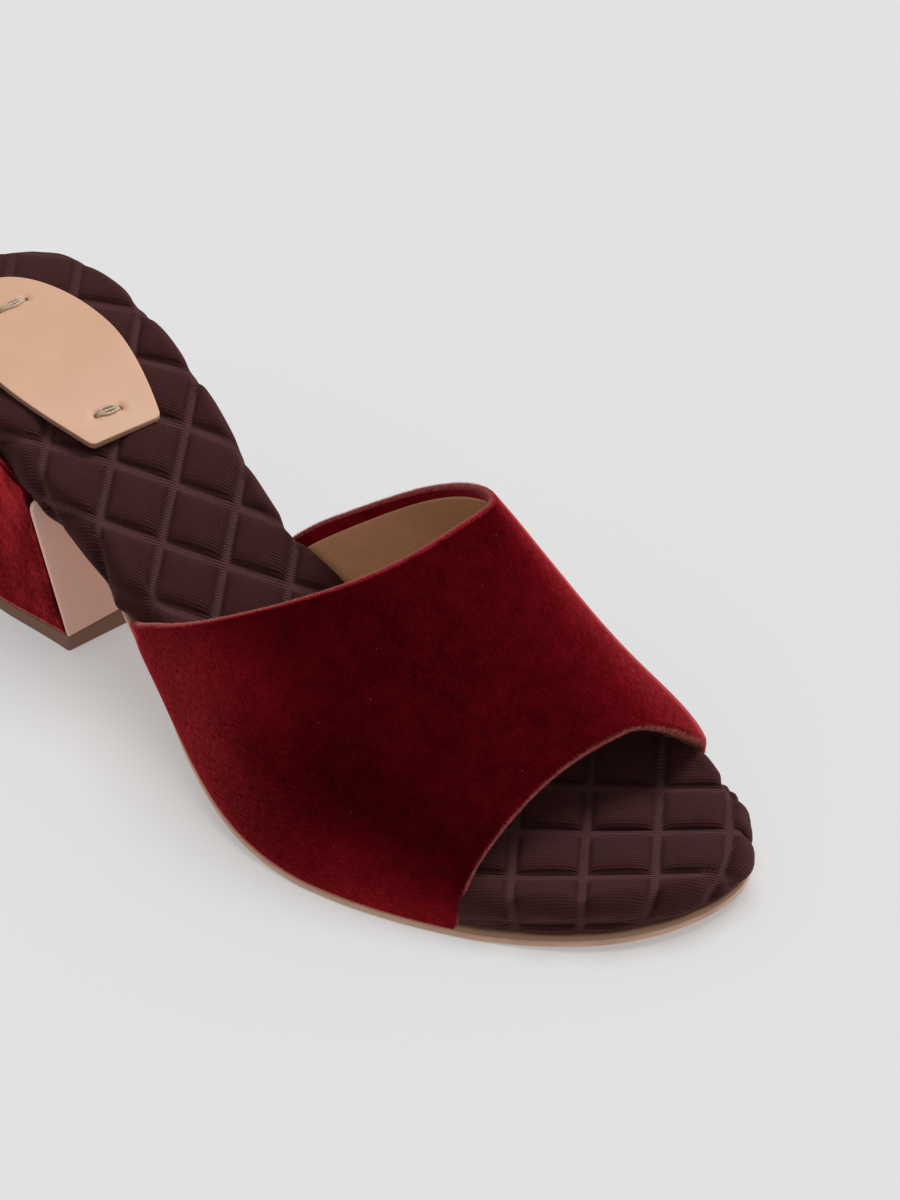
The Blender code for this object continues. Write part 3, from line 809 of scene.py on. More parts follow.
def vamp_layer(depths, margins=(0.0, 0.0), swell=0.0, skirt=(0.0, 0.0), roll_steps=ROLL_STEPS):
    """Loops of points round a layer of the vamp, one for each place over the foot.

    The layer lies between two depths under the outer face, and stops a margin short of the collar
    and of the toe line. Its two edges are half circles, and near them its outer side swells. The
    first and last rows lie on the layer's middle, where the two sides of the loop meet, and close
    its feet. The skirt is how far these reach down over the edge of the sole, and how far they
    stand out from it. Returns the points, the places over the foot and along it in millimetres,
    and how far the pile opens on a rolled edge, where a highlight is also painted.
    """
    near, far = depths
    t = even_shares(VAMP_ACROSS)[:, None]
    trial = vamp_face(t, np.linspace(0, 1, 61))
    long = np.linalg.norm(np.diff(trial, axis=1), axis=-1).sum(axis=1)[:, None]
    radius = (far - near) / 2
    start = (margins[0] + radius) / long
    end = 1 - (margins[1] + radius) / long
    share = np.linspace(0, 1, VAMP_ALONG + 1)
    v = start + (end - start) * share
    face = vamp_face(t, v)
    ahead = unit(np.gradient(face, axis=1))
    normal = unit(np.cross(np.gradient(face, axis=0), ahead))
    from_edge = np.minimum(share, 1 - share) * (end - start) * long
    outer = face - (near - swell * hill(from_edge, SWELL_REACH))[..., None] * normal
    inner = face - far * normal
    middle = face - (near + far) / 2 * normal
    bend = np.radians(np.linspace(0, 180, roll_steps + 2)[1:-1])

    def roll(column, way):
        heart = middle[:, column, None]
        up = np.cos(bend)[:, None] * (outer[:, column, None] - heart)
        return heart + up + np.sin(bend)[:, None] * way * radius * ahead[:, column, None]

    def still(column):
        return np.repeat(middle[:, column, None], roll_steps, axis=1)

    loop = np.hstack([outer, roll(-1, 1), inner[:, ::-1], roll(0, -1)[:, ::-1]])
    core = np.hstack([middle, still(-1), middle[:, ::-1], still(0)])
    grid = np.vstack([core[:1], loop, core[-1:]])
    foot = sole_top(grid[..., 1])
    grid[..., 2] = np.maximum(grid[..., 2], foot)
    grid[[0, 1, -2, -1], :, 2] = foot[[0, 1, -2, -1]]
    low = 1 - ease(grid[..., 2] - foot, 0, SKIRT_HIGH)
    outer_half = np.arange(len(grid))[:, None] < VAMP_ACROSS / 2
    grid[..., 0] += np.where(outer_half, -1, 1) * skirt[1] * low
    grid[..., 2] -= skirt[0] * low
    grid[..., 0] += CORNER_PULL * outer_half * low * hill(grid[..., 1] - EDGES[0][1], PULL_REACH)
    open_pile_and_highlight = hill(bend - ROLL_LIGHT, ROLL_SPREAD)
    edge = np.concatenate([0 * share, open_pile_and_highlight, 0 * share, open_pile_and_highlight[::-1]]) + 0 * t
    over = run_of(face[:, VAMP_ALONG // 2])[:, None] + 0 * edge
    down = v * long
    toe_roll = down[:, -1:] + radius * bend
    collar_roll = down[:, :1] - radius * bend[::-1]
    inner_down = 2 * down[:, :1] - radius * np.pi - down[:, ::-1]
    down = np.hstack([down, toe_roll, inner_down, collar_roll])
    rows = np.r_[0, 0:VAMP_ACROSS + 1, VAMP_ACROSS]
    return grid, np.stack([over, down], axis=-1)[rows], edge[rows]


def vamp_nap(over, down, inside):
    """How far the pile lies over, with painted light and shade: soft round patches from the table of
    zones, and gathers in the fold.
    """
    stray, pitch = GATHER_WANDER
    nap = (FOLD_NAP[0] + FOLD_NAP[1] * np.sin(over + stray * np.sin(over / pitch))) * inside
    for middle_over, middle_down, reach_over, reach_down, much in NAP_AND_LIGHT_ZONES:
        nap = nap + much * hill(over - middle_over, reach_over) * hill(down - middle_down, reach_down)
    return nap


def pile_mesh(name, grid, weight, count, long, wide):
    """Closed three-sided spikes that stand on a grid of points joined round its columns.

    A spike's cell is drawn by area times weight, its place in the cell is even, and its direction
    is the surface normal plus a random lean.
    """
    rng = np.random.default_rng(FIBRE_SEED)
    around = np.hstack([grid, grid[:, :1]])
    a, b, c, d = around[:-1, :-1], around[1:, :-1], around[:-1, 1:], around[1:, 1:]
    cross = np.cross(b - a, c - a)
    area = (np.linalg.norm(cross, axis=-1) * weight).ravel()
    cell = rng.choice(area.size, count, p=area / area.sum())
    s, r = rng.random((2, count, 1))
    a, b, c, d = (corner.reshape(-1, 3)[cell] for corner in (a, b, c, d))
    base = (a * (1 - s) + b * s) * (1 - r) + (c * (1 - s) + d * s) * r
    normal = unit(cross.reshape(-1, 3)[cell])
    tip_way = unit(normal + FIBRE_LEAN * rng.normal(size=(count, 3)))
    side = unit(np.cross(normal, rng.normal(size=(count, 3))))
    other = np.cross(normal, side)
    angles = np.radians([0, 120, 240])[None, :, None]
    ring = np.cos(angles) * side[:, None] + np.sin(angles) * other[:, None]
    foot = (base - FIBRE_ROOT * wide * normal)[:, None] + wide / 2 * ring
    tip = base + long * (FIBRE_SHORT + (1 - FIBRE_SHORT) * rng.random((count, 1))) * tip_way
    points = np.hstack([foot, tip[:, None]])
    corners = np.array([(0, 1, 3), (1, 2, 3), (2, 0, 3), (0, 2, 1)])
    faces = (4 * np.arange(count)[:, None, None] + corners).reshape(-1, 3)
    return mesh_of(name, points.reshape(-1, 3), faces)


class MULE_OT_vamp(bpy.types.Operator):
    """Make the velvet vamp with its rolled edges and standing pile, and the leather lining inside it"""

    bl_idname = "mule.vamp"
    bl_label = "Vamp"

    def execute(self, context):
        sizes, colours = context.scene.mule_sizes, context.scene.mule_colours
        skirt = (sizes.skirt_drop / MM, sizes.skirt_flare / MM)
        grid, places, edge = vamp_layer(VELVET_DEPTHS, swell=sizes.roll_swell / MM, skirt=skirt)
        plush = velvet_finish(colours, "velvet", 0.07, 20, (1.0, 1.0, 1.0), True)
        inside = np.arange(grid.shape[1]) > VAMP_ALONG + ROLL_STEPS
        nap = vamp_nap(places[..., 0], places[..., 1], inside)
        grid_piece("vamp", grid, plush, "velvet", "upper", uv=places, shade=edge, nap=nap)
        margins = (sizes.velvet_fold / MM, sizes.lining_step / MM)
        lining, _, _ = vamp_layer(LINING_DEPTHS, margins, roll_steps=5)
        tan = leather_finish(colours, "lining", 0.6, 0.7, 0.04)
        grid_piece("vamp_lining", lining, tan, "nude_leather")
        fibres = (sizes.edge_fibres, sizes.pile_length, sizes.fibre_width)
        outwards = world(grid)[::-1]
        edge_pile = pile_mesh("vamp_edge_pile", outwards, edge.mean(axis=0), *fibres)
        add_piece("vamp_edge_pile", edge_pile, pile_finish(colours), "velvet")
        return {"FINISHED"}


# Footbed

def wall_inset(turns, height):
    """Distance from the edge of the sole in to the lining of the vamp, at heights over the sole.

    The section of the vamp at a share of its height is the superellipse's width there plus its bulge.
    """
    x, p = outline(turns).T
    outer_side = turns < 180
    rise = np.clip(height / height_curve(p), 0, 0.5)
    power = np.where(outer_side, OUTER_FULLNESS[0], INNER_FULLNESS[0])
    edge = np.where(outer_side, x + VAMP_INSET, x - VAMP_INSET)
    reach = (1 - rise ** power) ** (1 / power)
    bulge = np.where(outer_side, -OUTER_BULGE, bulge_curve(p)) * np.sin(np.pi * rise)
    wall = VAMP_RIDGE + (edge - VAMP_RIDGE) * reach + bulge
    return np.where(outer_side, wall - x, x - wall) + WALL + GAP


def pad_inset(turns, height):
    """How far the pad's edge lies in from that of the sole: over it, or along the vamp's lining."""
    p = outline(turns)[:, 1]
    outer_side = turns < 180
    collar, toe = (np.where(outer_side, EDGES[0][k], EDGES[-1][k]) for k in (1, 2))
    inside = ease(p - collar, *COLLAR_TUCK) * (1 - ease(p - toe, *TOE_TUCK))
    lining = wall_inset(turns, height)
    free = -PAD_OVERHANG
    for side, swell, reach in PAD_SWELLS:
        free = free - swell * (outer_side == side) * bump_over(p, reach)
    inset = free + inside * (lining - free)
    covered = (p > collar) & (p < toe)
    return np.where(covered, np.maximum(inset, lining - WALL + GAP), inset)


def quilt(cloth, cell, floor):
    """Height of the quilting from 0 in a groove to 1 on a cell, its marks, which place painted light and
    shade, and places on the lattice.

    A plan point's place on the flat sheet is its x and its distance along the sole, with a drift.
    A cell rises from the flat floor of a groove as 1 - (1 - s) ** power on both ways across it, with
    s from 0 at the floor's edge to 1 at the middle, and its height is the product of the two. A steep
    rise and a slow one are blended.
    """
    x, p = np.moveaxis(cloth, -1, 0)
    across = x + QUILT_DRIFT[0] * ease(p, *DRIFT_SPAN)
    along = np.interp(p, FINE_P, FLAT_ALONG)
    sine, cosine = np.sin(QUILT_ANGLE), np.cos(QUILT_ANGLE)
    places = (across * sine + along * cosine, -across * cosine + along * sine)
    steep, slow = PILLOW_POWERS
    edge = floor / 2
    height, beside, before = 1.0, [], []
    on_heel = 1 - ease(p, *CREEP_SPAN)
    for place, phase, creep in zip(places, QUILT_PHASE, HEEL_CREEP):
        turns = (place - phase - creep * on_heel) / cell
        beside.append(np.abs(turns - np.round(turns)) * cell)
        before.append(turns < np.round(turns))
        share = np.clip((beside[-1] - edge) / (cell / 2 - edge), 0, 1)
        dip = (1 - PILLOW_BELLY) * (1 - share) ** steep + PILLOW_BELLY * (1 - share) ** slow
        height = height * (1 - dip)
    off = np.minimum(*beside) - edge
    # one side of each cell only, where the light rakes and shade is painted between the ribs
    comb_lit_side = before[0] * (1 - ease(beside[0] - edge, *COMB_REACH))
    marks = {
        # groove floors, painted lighter, partly as painted light
        "shade": 1 - ease(off, -GROOVE_SOFT, GROOVE_SOFT),
        # painted shade along the foot of each groove's walls
        "crease": hill(off - CREASE_OFF, CREASE_WIDE),
        "comb_lit_side": np.maximum(comb_lit_side, TOE_COMB * ease(p, *TOE_COMB_SPAN)),
    }
    return height, marks, places


def patch_width(share):
    """Width of the patch at shares of its length: half an ellipse, then a curve to the front edge."""
    behind = np.sqrt(np.clip(1 - ((PATCH_WIDE_AT - share) / PATCH_WIDE_AT) ** 2, 0, 1)) * PATCH_WIDE
    ahead = np.clip((share - PATCH_WIDE_AT) / (1 - PATCH_WIDE_AT), 0, 1) ** PATCH_TAPER
    return np.where(share < PATCH_WIDE_AT, behind, PATCH_WIDE - (PATCH_WIDE - PATCH_FRONT_WIDE) * ahead)


def under_patch(plan):
    """Share of 1 under the heel seat patch, falling to 0 towards its edge."""
    away = plan - PATCH_BACK
    share = away @ PATCH_WAY / PATCH_LONG
    along = np.clip(share, 0, 1)
    inside = patch_width(along) / 2 - np.abs(away @ PATCH_SIDE + PATCH_BOW * np.sin(np.pi * along))
    return ease(inside, *PRESS_REACH) * ease(PATCH_LONG * (1 - share), *PRESS_REACH) * (share > 0)


class MULE_OT_footbed(bpy.types.Operator):
    """Make the padded footbed with its quilted knit cover"""

    bl_idname = "mule.footbed"
    bl_label = "Footbed"

    def execute(self, context):
        sizes, colours = context.scene.mule_sizes, context.scene.mule_colours
        turns = np.linspace(0, 360, sizes.pad_points, endpoint=False)
        boundary = outline(turns)
        outward = outward_of(boundary)
        plan, height, lift = self.rings(turns, boundary)
        cloth = self.cloth_places(plan, height, outward)
        pillow, marks, places = quilt(cloth, sizes.quilt_cell / MM, sizes.groove_floor / MM)
        fade = self.quilt_share(turns, boundary[:, 1], plan, np.degrees(lift))
        sink = (sizes.groove_depth / MM * (pillow - 1) + sizes.pad_crown / MM * pillow) * fade
        plan = plan + (sink * np.cos(lift))[..., None] * outward
        z = sole_top(plan[..., 1]) + height + sink * np.sin(lift)
        z = z + self.cupped(turns, boundary, plan) * height / PAD_THICK
        pad = grid_piece(
            "footbed_pad", np.dstack([plan, z]), knit_finish(colours), "knit", "footbed",
            uv=np.dstack(places[::-1]), **{key: mark * fade for key, mark in marks.items()})
        return {"FINISHED"}

    def rings(self, turns, boundary):
        """Plate of the pad: its edge is a quarter ellipse under its widest line and another over it."""
        lift = np.linspace(-90, 90, PAD_EDGE_RINGS)
        bend = np.radians(lift)
        reach = np.where(lift > 0, PAD_EDGE_ROUND, PAD_EDGE_LOW)
        rise = np.where(lift > 0, PAD_THICK - PAD_EDGE_LOW, PAD_EDGE_LOW)
        height = PAD_EDGE_LOW + rise * np.sin(bend)
        inset = (reach * (1 - np.cos(bend)))[:, None] + pad_inset(turns, height[:, None])
        return plate(boundary, spine(boundary[:, 1], PAD_MIDDLE), (inset, height, lift), PAD_TOP_RINGS)

    def cloth_places(self, plan, height, outward):
        """Plan points laid flat: the edge's rings go on outwards from the top's rim by their distance."""
        rim = len(plan) - PAD_TOP_RINGS - 1
        section = np.column_stack([height[:, 0], plan[:, 0] @ outward[0]])
        over = run_of(section[rim::-1])[::-1]
        return np.vstack([plan[rim] + over[:, None, None] * outward, plan[rim + 1:]])

    def quilt_share(self, turns, p, plan, lift):
        """Share of the quilting's depth: it fades down the edge, less so where the cells pucker it."""
        puckered = (turns < 180) * bump_over(p, PUCKER_SPAN) + TOE_PUCKER * ease(p, *TOE_PUCKER_SPAN)
        tight, loose = np.interp(lift, *TIGHT), np.interp(lift, *LOOSE)
        fade = tight + (loose - tight) * puckered
        fade = fade * (SEAT_QUILT + (1 - SEAT_QUILT) * ease(plan[..., 1], *SEAT_QUILT_SPAN))
        return fade * (1 - PATCH_PRESS * under_patch(plan))

    def cupped(self, turns, boundary, plan):
        """Rise of the pad where the inner side of the vamp presses its edge up, behind the toe line."""
        place = (turns > 180) * bump_over(boundary[:, 1], CUP_SPAN)
        return CUP_RISE * place * hill(np.linalg.norm(plan - boundary, axis=-1), CUP_WIDTH)


# Outsole

class MULE_OT_outsole(bpy.types.Operator):
    """Make the thin leather outsole with its rounded edge"""

    bl_idname = "mule.outsole"
    bl_label = "Outsole"

    def execute(self, context):
        colours = context.scene.mule_colours
        share = np.linspace(0, 1, 321)
        sides = []
        starts = breast_turns(WAIST_INSET, 2 * GAP + COVER_THICK)
        for start, end, tuck in zip(starts, (180, -180), (SOLE_TUCK, 0)):
            turns = start + (end - start) * share
            p = outline(turns)[:, 1]
            inset = WAIST_INSET * (1 - ease(p, *WAIST_SPAN)) + tuck * (1 - ease(p, *TUCK_SPAN))
            sides.append(outline(turns, inset + TOE_TRIM * ease(p, *TOE_TRIM_SPAN)))
        outer, inner = sides
        back = inner[0] + (outer[0] - inner[0]) * np.linspace(0, 1, 41)[1:-1, None]
        boundary = np.vstack([outer, inner[-2::-1], back])
        edge = soft_edge(SOLE_THICK, SOLE_ROUND, (SOLE_LINE, SOLE_LINE_DEPTH))
        plan, height, _ = plate(boundary, spine(boundary[:, 1], SOLE_MIDDLE), edge, 12, 12)
        grid = np.dstack([plan, underside(plan[..., 1]) + height])
        # the upper half of the edge is painted darker, as the pad's shadow
        marks = [(colours.sole_rim_shadow, 0.4, 0.6)]
        finish = leather_finish(colours, "sole", 0.5, 0.8, 0.05, (1.0, 1.0, 5.0), marks)
        grid_piece("sole", grid, finish, "sole_leather", "outsole", shade=height > SOLE_LINE)
        return {"FINISHED"}


# Heel

def heel_plan():
    """Plan of the heel at its seat, from the outer front corner round the back, with round corners."""
    side = outline(np.linspace(*breast_turns(HEEL_INSET), 241), HEEL_INSET)
    outer = rounded(side[-1], side[0], side[8], HEEL_CORNER)
    inner = rounded(side[-9], side[-1], side[0], HEEL_CORNER)
    front = inner[-1] + (outer[0] - inner[-1]) * np.linspace(0, 1, 50)[1:-1, None]
    keep = clear_of(side, side[0], HEEL_CORNER) & clear_of(side, side[-1], HEEL_CORNER)
    return np.vstack([outer, side[keep], inner, front])


def foot_level(at):
    """Height of the rubber under the heel at plan points: a plane that rises inwards and forwards."""
    return np.maximum(TOP_PIECE_HIGH + (at - np.array(TOP_PIECE_CORNER)) @ TOP_PIECE_TILT, TOP_PIECE_LEAST)


def from_corner(plan):
    """Distance of plan points from the heel's outer front corner."""
    return np.linalg.norm(plan - HEEL_FRONT[0], axis=1)


def heel_ring(plan, drop, rise=SEAT_RISE):
    """Points of the heel at a share of the way down, narrowed towards its front and its middle."""
    middle = HEEL_FRONT.mean(axis=0)
    along, back = (plan - middle) @ FRONT_WAY, (plan - middle) @ BACK_WAY
    taper = HEEL_TAPER + HEEL_BACK_WIDER * ease(back, *BACK_WIDER_SPAN)
    flare = CORNER_FLARE * (1 - drop) * hill(from_corner(plan), FLARE_REACH)
    along = along * (1 - drop * (1 - taper)) - flare
    back = back * (1 - drop * (1 - HEEL_TUCK))
    at = middle + along[:, None] * FRONT_WAY + back[:, None] * BACK_WAY
    x, p = plan.T
    outer_side = x < outline(turn_at(p), HEEL_INSET)[:, 0] + SEAT_SIDE
    seat = underside(p) + SOLE_THICK + rise * outer_side * bump_over(p, SEAT_REACH)
    z = seat * (1 - drop) + (foot_level(at) + GAP) * drop
    return np.column_stack([at, z])


class MULE_OT_heel(bpy.types.Operator):
    """Make the velvet heel, the leather on its front and the rubber under it"""

    bl_idname = "mule.heel"
    bl_label = "Heel"

    def execute(self, context):
        colours = context.scene.mule_colours
        foot, seat = (heel_ring(HEEL_FRONT, drop)[:, :2] for drop in (1.0, 0.0))
        self.make_block(colours)
        self.make_breast(colours, foot, seat)
        self.make_top_piece(colours, foot)
        return {"FINISHED"}

    def make_block(self, colours):
        """Rings of the heel's plan carried down from the lip on its seat, closed at each end."""
        plan = evenly(heel_plan(), 420)
        rings = []
        for share, under in LIP_RINGS:
            lip = plan - share * SEAT_LIP * outward_of(plan)
            rings.append(heel_ring(lip, 0.0, SEAT_RISE - under))
        rings += [heel_ring(plan, drop) for drop in np.linspace(0, 1, 61)]
        plush = velvet_finish(colours, "heel_velvet", 0.5, 11, (1.0, 1.4, 0.8), False)
        nap = HEEL_NAP + CORNER_NAP * hill(from_corner(plan), CORNER_NAP_REACH)
        grid_piece("heel_block", capped(np.array(rings), 2), plush, "velvet", "heel", nap=nap)

    def make_breast(self, colours, foot, seat):
        """Plate on the front of the heel, drawn in x and z and carried forward by its thickness."""
        under_pad = underside(seat[:, 1] + GAP + COVER_THICK) + SOLE_THICK
        low = foot_level(foot) + GAP
        shoulder = seat[0, 0] + BREAST_SHOULDER
        corners = [
            (foot[0, 0], low[0]),
            (seat[0, 0], under_pad[0] + BREAST_RISE),
            (shoulder, np.interp(shoulder, seat[:, 0], under_pad)),
            (seat[1, 0], under_pad[1]),
            (foot[1, 0], low[1]),
        ]
        tops = [rounded(*corners[k:k + 3], COVER_CORNER, 12) for k in (0, 2)]
        boundary = evenly(np.vstack([corners[0], tops[0], corners[2], tops[1], corners[4]]), 360)
        plan, height, _ = plate(boundary, boundary.mean(axis=0), soft_edge(COVER_THICK, COVER_ROUND), 10)
        x, z = np.moveaxis(plan, -1, 0)
        ahead = GAP + height
        p = foot[0, 1] + (x - foot[0, 0]) * np.tan(BREAST_SKEW) + ahead * np.cos(BREAST_SKEW)
        grid = np.dstack([x - ahead * np.sin(BREAST_SKEW), p, z])
        nude = leather_finish(colours, "breast", 0.5, 0.8, 0.04)
        grid_piece("heel_breast", grid, nude, "nude_leather", "heel_breast_cover")

    def make_top_piece(self, colours, foot):
        """Plate under the heel and under the foot of the leather on its front."""
        ring = heel_ring(heel_plan(), 1.0)[:, :2]
        in_front = (ring - foot[0]) @ BACK_WAY < 1.0
        forward = (GAP + COVER_THICK - TOP_PIECE_STEP) * in_front
        boundary = evenly(ring - forward[:, None] * BACK_WAY, 360)
        edge = soft_edge(TOP_PIECE_HIGH, TOP_PIECE_ROUND)
        plan, height, _ = plate(boundary, boundary.mean(axis=0), edge, 8)
        grid = np.dstack([plan, height * foot_level(plan) / TOP_PIECE_HIGH])
        grid_piece("heel_lift", grid, rubber_finish(colours), "top_piece_rubber", "heel_top_piece")


# Heel seat patch

def patch_outline():
    """Plan of the patch: a round back that narrows to a straight front edge with small round corners."""
    share = 0.5 - 0.5 * np.cos(np.pi * np.linspace(0, 1, 121)[:, None])
    middle = PATCH_BACK + PATCH_LONG * share * PATCH_WAY - PATCH_BOW * np.sin(np.pi * share) * PATCH_SIDE
    half = patch_width(share) / 2 * PATCH_SIDE
    outer, inner = middle - half, (middle + half)[::-1]
    first = rounded(outer[-12], outer[-1], inner[0], PATCH_CORNER)
    second = rounded(outer[-1], inner[0], inner[11], PATCH_CORNER)
    near = clear_of(outer, outer[-1], PATCH_CORNER)
    far = clear_of(inner, inner[0], PATCH_CORNER)
    return evenly(np.vstack([outer[near], first, second, inner[far][:-1]]), 480)


def patch_level(p):
    """Height of the patch's underside."""
    return sole_top(p) + PAD_THICK + GAP


def at_holes(plan, reach):
    """For each hole of the stitches, 1 at its middle and falling to 0 beyond a reach."""
    return [hill(np.linalg.norm(plan - np.array(hole), axis=-1), reach) for hole in sum(STITCHES, ())]


def strand(start, end, radius, bow, steps=72, sides=14):
    """Tube that comes up out of one hole, lies along the surface and goes down into the other.

    Its height over the surface is a flat arch, 1 - (2 s - 1) ** 6 along it, it bows sideways by a
    half sine, and its radius carries two plies that wind round it.
    """
    s = np.linspace(0, 1, steps)[:, None]
    around = np.linspace(0, 2 * np.pi, sides, endpoint=False)
    path = np.array(start) + (np.array(end) - start) * s + np.array([0.0, bow]) * np.sin(np.pi * s)
    down = np.abs(2 * s - 1) ** 6
    arch = STRAND_LIFT * radius * (1 - down) - STRAND_SINK * down
    thick = radius * (1 + PLY[0] * np.cos(2 * around - PLY[1] * s))
    p = path[:, 1:] + thick * np.cos(around)
    z = patch_level(path[:, 1:]) + PATCH_THICK + arch + thick * np.sin(around)
    return capped(np.dstack([path[:, :1] + 0 * p, p, z]))


class MULE_OT_patch(bpy.types.Operator):
    """Make the bare leather patch on the heel seat and the two stitches that hold it"""

    bl_idname = "mule.patch"
    bl_label = "Heel patch"

    def execute(self, context):
        sizes, colours = context.scene.mule_sizes, context.scene.mule_colours
        edge = soft_edge(PATCH_THICK, PATCH_ROUND)
        plan, height, lift = plate(patch_outline(), (PATCH_BACK + PATCH_FRONT) / 2, edge, 72)
        x, p = np.moveaxis(plan, -1, 0)
        on_top = lift > 0.5
        cut = np.where(height < PATCH_THICK - 0.1, 0.5, 0.0)
        # painted shade in the stitch holes, where the leather is only dimpled
        hole = np.maximum.reduce(at_holes(plan, HOLE_REACH))
        waves = PATCH_WAVE * np.sin(x / 6.0 + p / 17.0) * np.sin(p / 9.0)
        waves = waves - DIMPLE[0] * sum(at_holes(plan, DIMPLE[1]))
        grid = np.dstack([plan, patch_level(p) + height + on_top * waves])
        # the cut edge has its own colour; the holes get painted shade
        marks = [(colours.patch_cut, 0.3, 0.5), (colours.hole, 0.65, 0.9)]
        nude = leather_finish(colours, "patch", 0.5, 0.6, 0.03, None, marks)
        shade = np.where(on_top & (hole > cut), hole, cut)
        grid_piece("heel_patch", grid, nude, "nude_leather", "heel_seat_patch", shade=shade)
        waxed = thread_finish(colours)
        for place, holes in zip(("front", "rear"), STITCHES):
            for side, bow in STRANDS:
                grid = strand(*holes, sizes.thread_width / 2 / MM, bow)
                grid_piece(f"stitch_{place}_{side}", grid, waxed, "nude_leather")
        return {"FINISHED"}


# Stage

class MULE_OT_stage(bpy.types.Operator):
    """Make the floor, the soft light and the camera"""

    bl_idname = "mule.stage"
    bl_label = "Stage"

    def execute(self, context):
        stage = context.scene.mule_stage
        floor = self.make_floor(context.scene, stage)
        self.make_lights(context.scene, stage, floor)
        self.make_camera(context.scene, stage)
        context.scene.view_settings.view_transform = "Standard"
        return {"FINISHED"}

    def make_floor(self, scene, stage, half=4.0, steps=9):
        """Level square under the shoe, from half a side in metres."""
        share = np.linspace(-half, half, steps)
        x, y = np.meshgrid(share, share, indexing="ij")
        points = np.dstack([x, y, 0 * x]).reshape(-1, 3)
        mesh = mesh_of("floor", points, grid_faces(steps, steps, False)[:, ::-1])
        mesh.materials.append(floor_finish(stage.floor_tone, stage.floor_glow))
        floor = bpy.data.objects.new("floor", mesh)
        scene.collection.objects.link(floor)
        return floor

    def make_lights(self, scene, stage, floor):
        """Even light from all round, a broad soft key over the inner side of the shoe, and a top light.

        The key is for the shoe and the top light for the floor, so that the shadow stays close.
        """
        sky = bpy.data.worlds.new("soft_light")
        sky.use_nodes = True
        background = sky.node_tree.nodes["Background"]
        background.inputs["Color"].default_value = (1.0, 1.0, 1.0, 1.0)
        background.inputs["Strength"].default_value = stage.sky
        scene.world = sky
        self.make_sun(scene, "key", stage.key_power, stage.key_spread, stage.key_from, floor, "EXCLUDE")
        self.make_sun(scene, "top", stage.top_power, stage.top_spread, stage.top_from, floor, "INCLUDE")

    def make_sun(self, scene, name, power, spread, direction, floor, floor_state):
        """Parallel light from a direction, for the floor only or for all but the floor."""
        data = bpy.data.lights.new(name, "SUN")
        data.energy = power
        data.angle = spread
        sun = bpy.data.objects.new(name, data)
        sun.location = Vector(direction)
        sun.rotation_mode = "QUATERNION"
        sun.rotation_quaternion = (-Vector(direction)).to_track_quat("-Z", "Y")
        scene.collection.objects.link(sun)
        lit = bpy.data.collections.new(f"lit_by_{name}")
        lit.objects.link(floor)
        lit.collection_objects[0].light_linking.link_state = floor_state
        sun.light_linking.receiver_collection = lit

    def make_camera(self, scene, stage):
        """Camera on a line of sight given by its turn round the shoe and its height over the floor."""
        turn, rise = stage.camera_turn, stage.camera_rise
        back = Vector((np.sin(turn) * np.cos(rise), -np.cos(turn) * np.cos(rise), np.sin(rise)))
        data = bpy.data.cameras.new("camera")
        data.sensor_width = 36.0
        data.lens = stage.camera_lens
        camera = bpy.data.objects.new("camera", data)
        scene.collection.objects.link(camera)
        look = (-back).to_track_quat("-Z", "Y").to_matrix().to_4x4()
        roll = Matrix.Rotation(stage.camera_roll, 4, "Z")
        place = Matrix.Translation(Vector(stage.camera_aim) + stage.camera_distance * back)
        camera.matrix_world = place @ look @ roll
        scene.camera = camera


# Settings

def amount(name, description, default, **limits):
    """Property of a number that isn't negative."""
    return FloatProperty(name=name, description=description, default=default, min=0.0, **limits)


def length(name, description, default):
    """Property of a length in metres, with its default in millimetres."""
    return amount(name, description, default * MM, precision=5, unit="LENGTH")


def number(name, description, default):
    """Property of a number of things."""
    return IntProperty(name=name, description=description, default=default, min=90)


def angle(name, description, default):
    """Property of an angle, with its default in degrees."""
    return FloatProperty(name=name, description=description, default=np.radians(default), unit="ROTATION")


def triple(name, description, *default, **limits):
    """Property of three numbers."""
    return FloatVectorProperty(name=name, description=description, default=default, size=3, **limits)


def colour(name, description, *default):
    """Property of a linear colour."""
    return triple(name, description, *default, min=0.0, max=1.0, subtype="COLOR")


class MuleSizes(bpy.types.PropertyGroup):
    """Sizes of the soft surfaces"""

    velvet_fold: length("Velvet fold", "How far the velvet turns in at the collar", 4.3)
    lining_step: length("Lining step", "How far the lining stops short of the toe line", 0.7)
    skirt_drop: length("Skirt drop", "How far the velvet reaches down over the edge of the sole", 1.5)
    skirt_flare: length("Skirt flare", "How far it stands out there", 0.8)
    roll_swell: length("Roll swell", "How far the rolled edges of the velvet stand proud", 0.05)
    pile_length: length("Pile length", "Longest fibre on the rolled edges", 0.7)
    fibre_width: length("Fibre width", "Thickness of a fibre at its root", 0.07)
    edge_fibres: number("Edge fibres", "Number of fibres on the rolled edges", 42000)
    quilt_cell: length("Quilt cell", "Side of a cell of the quilting", 16.04)
    groove_floor: length("Groove floor", "Width of the flat floor of a groove", 2.0)
    groove_depth: length("Groove depth", "Depth of a groove under the cells' edges", 2.0)
    pad_crown: length("Pad crown", "Height of a cell's middle over the pad's own top", 0.2)
    pad_points: number("Pad points", "Number of points round the edge of the pad", 1160)
    thread_width: length("Thread width", "Thickness of a strand of the stitches", 0.75)


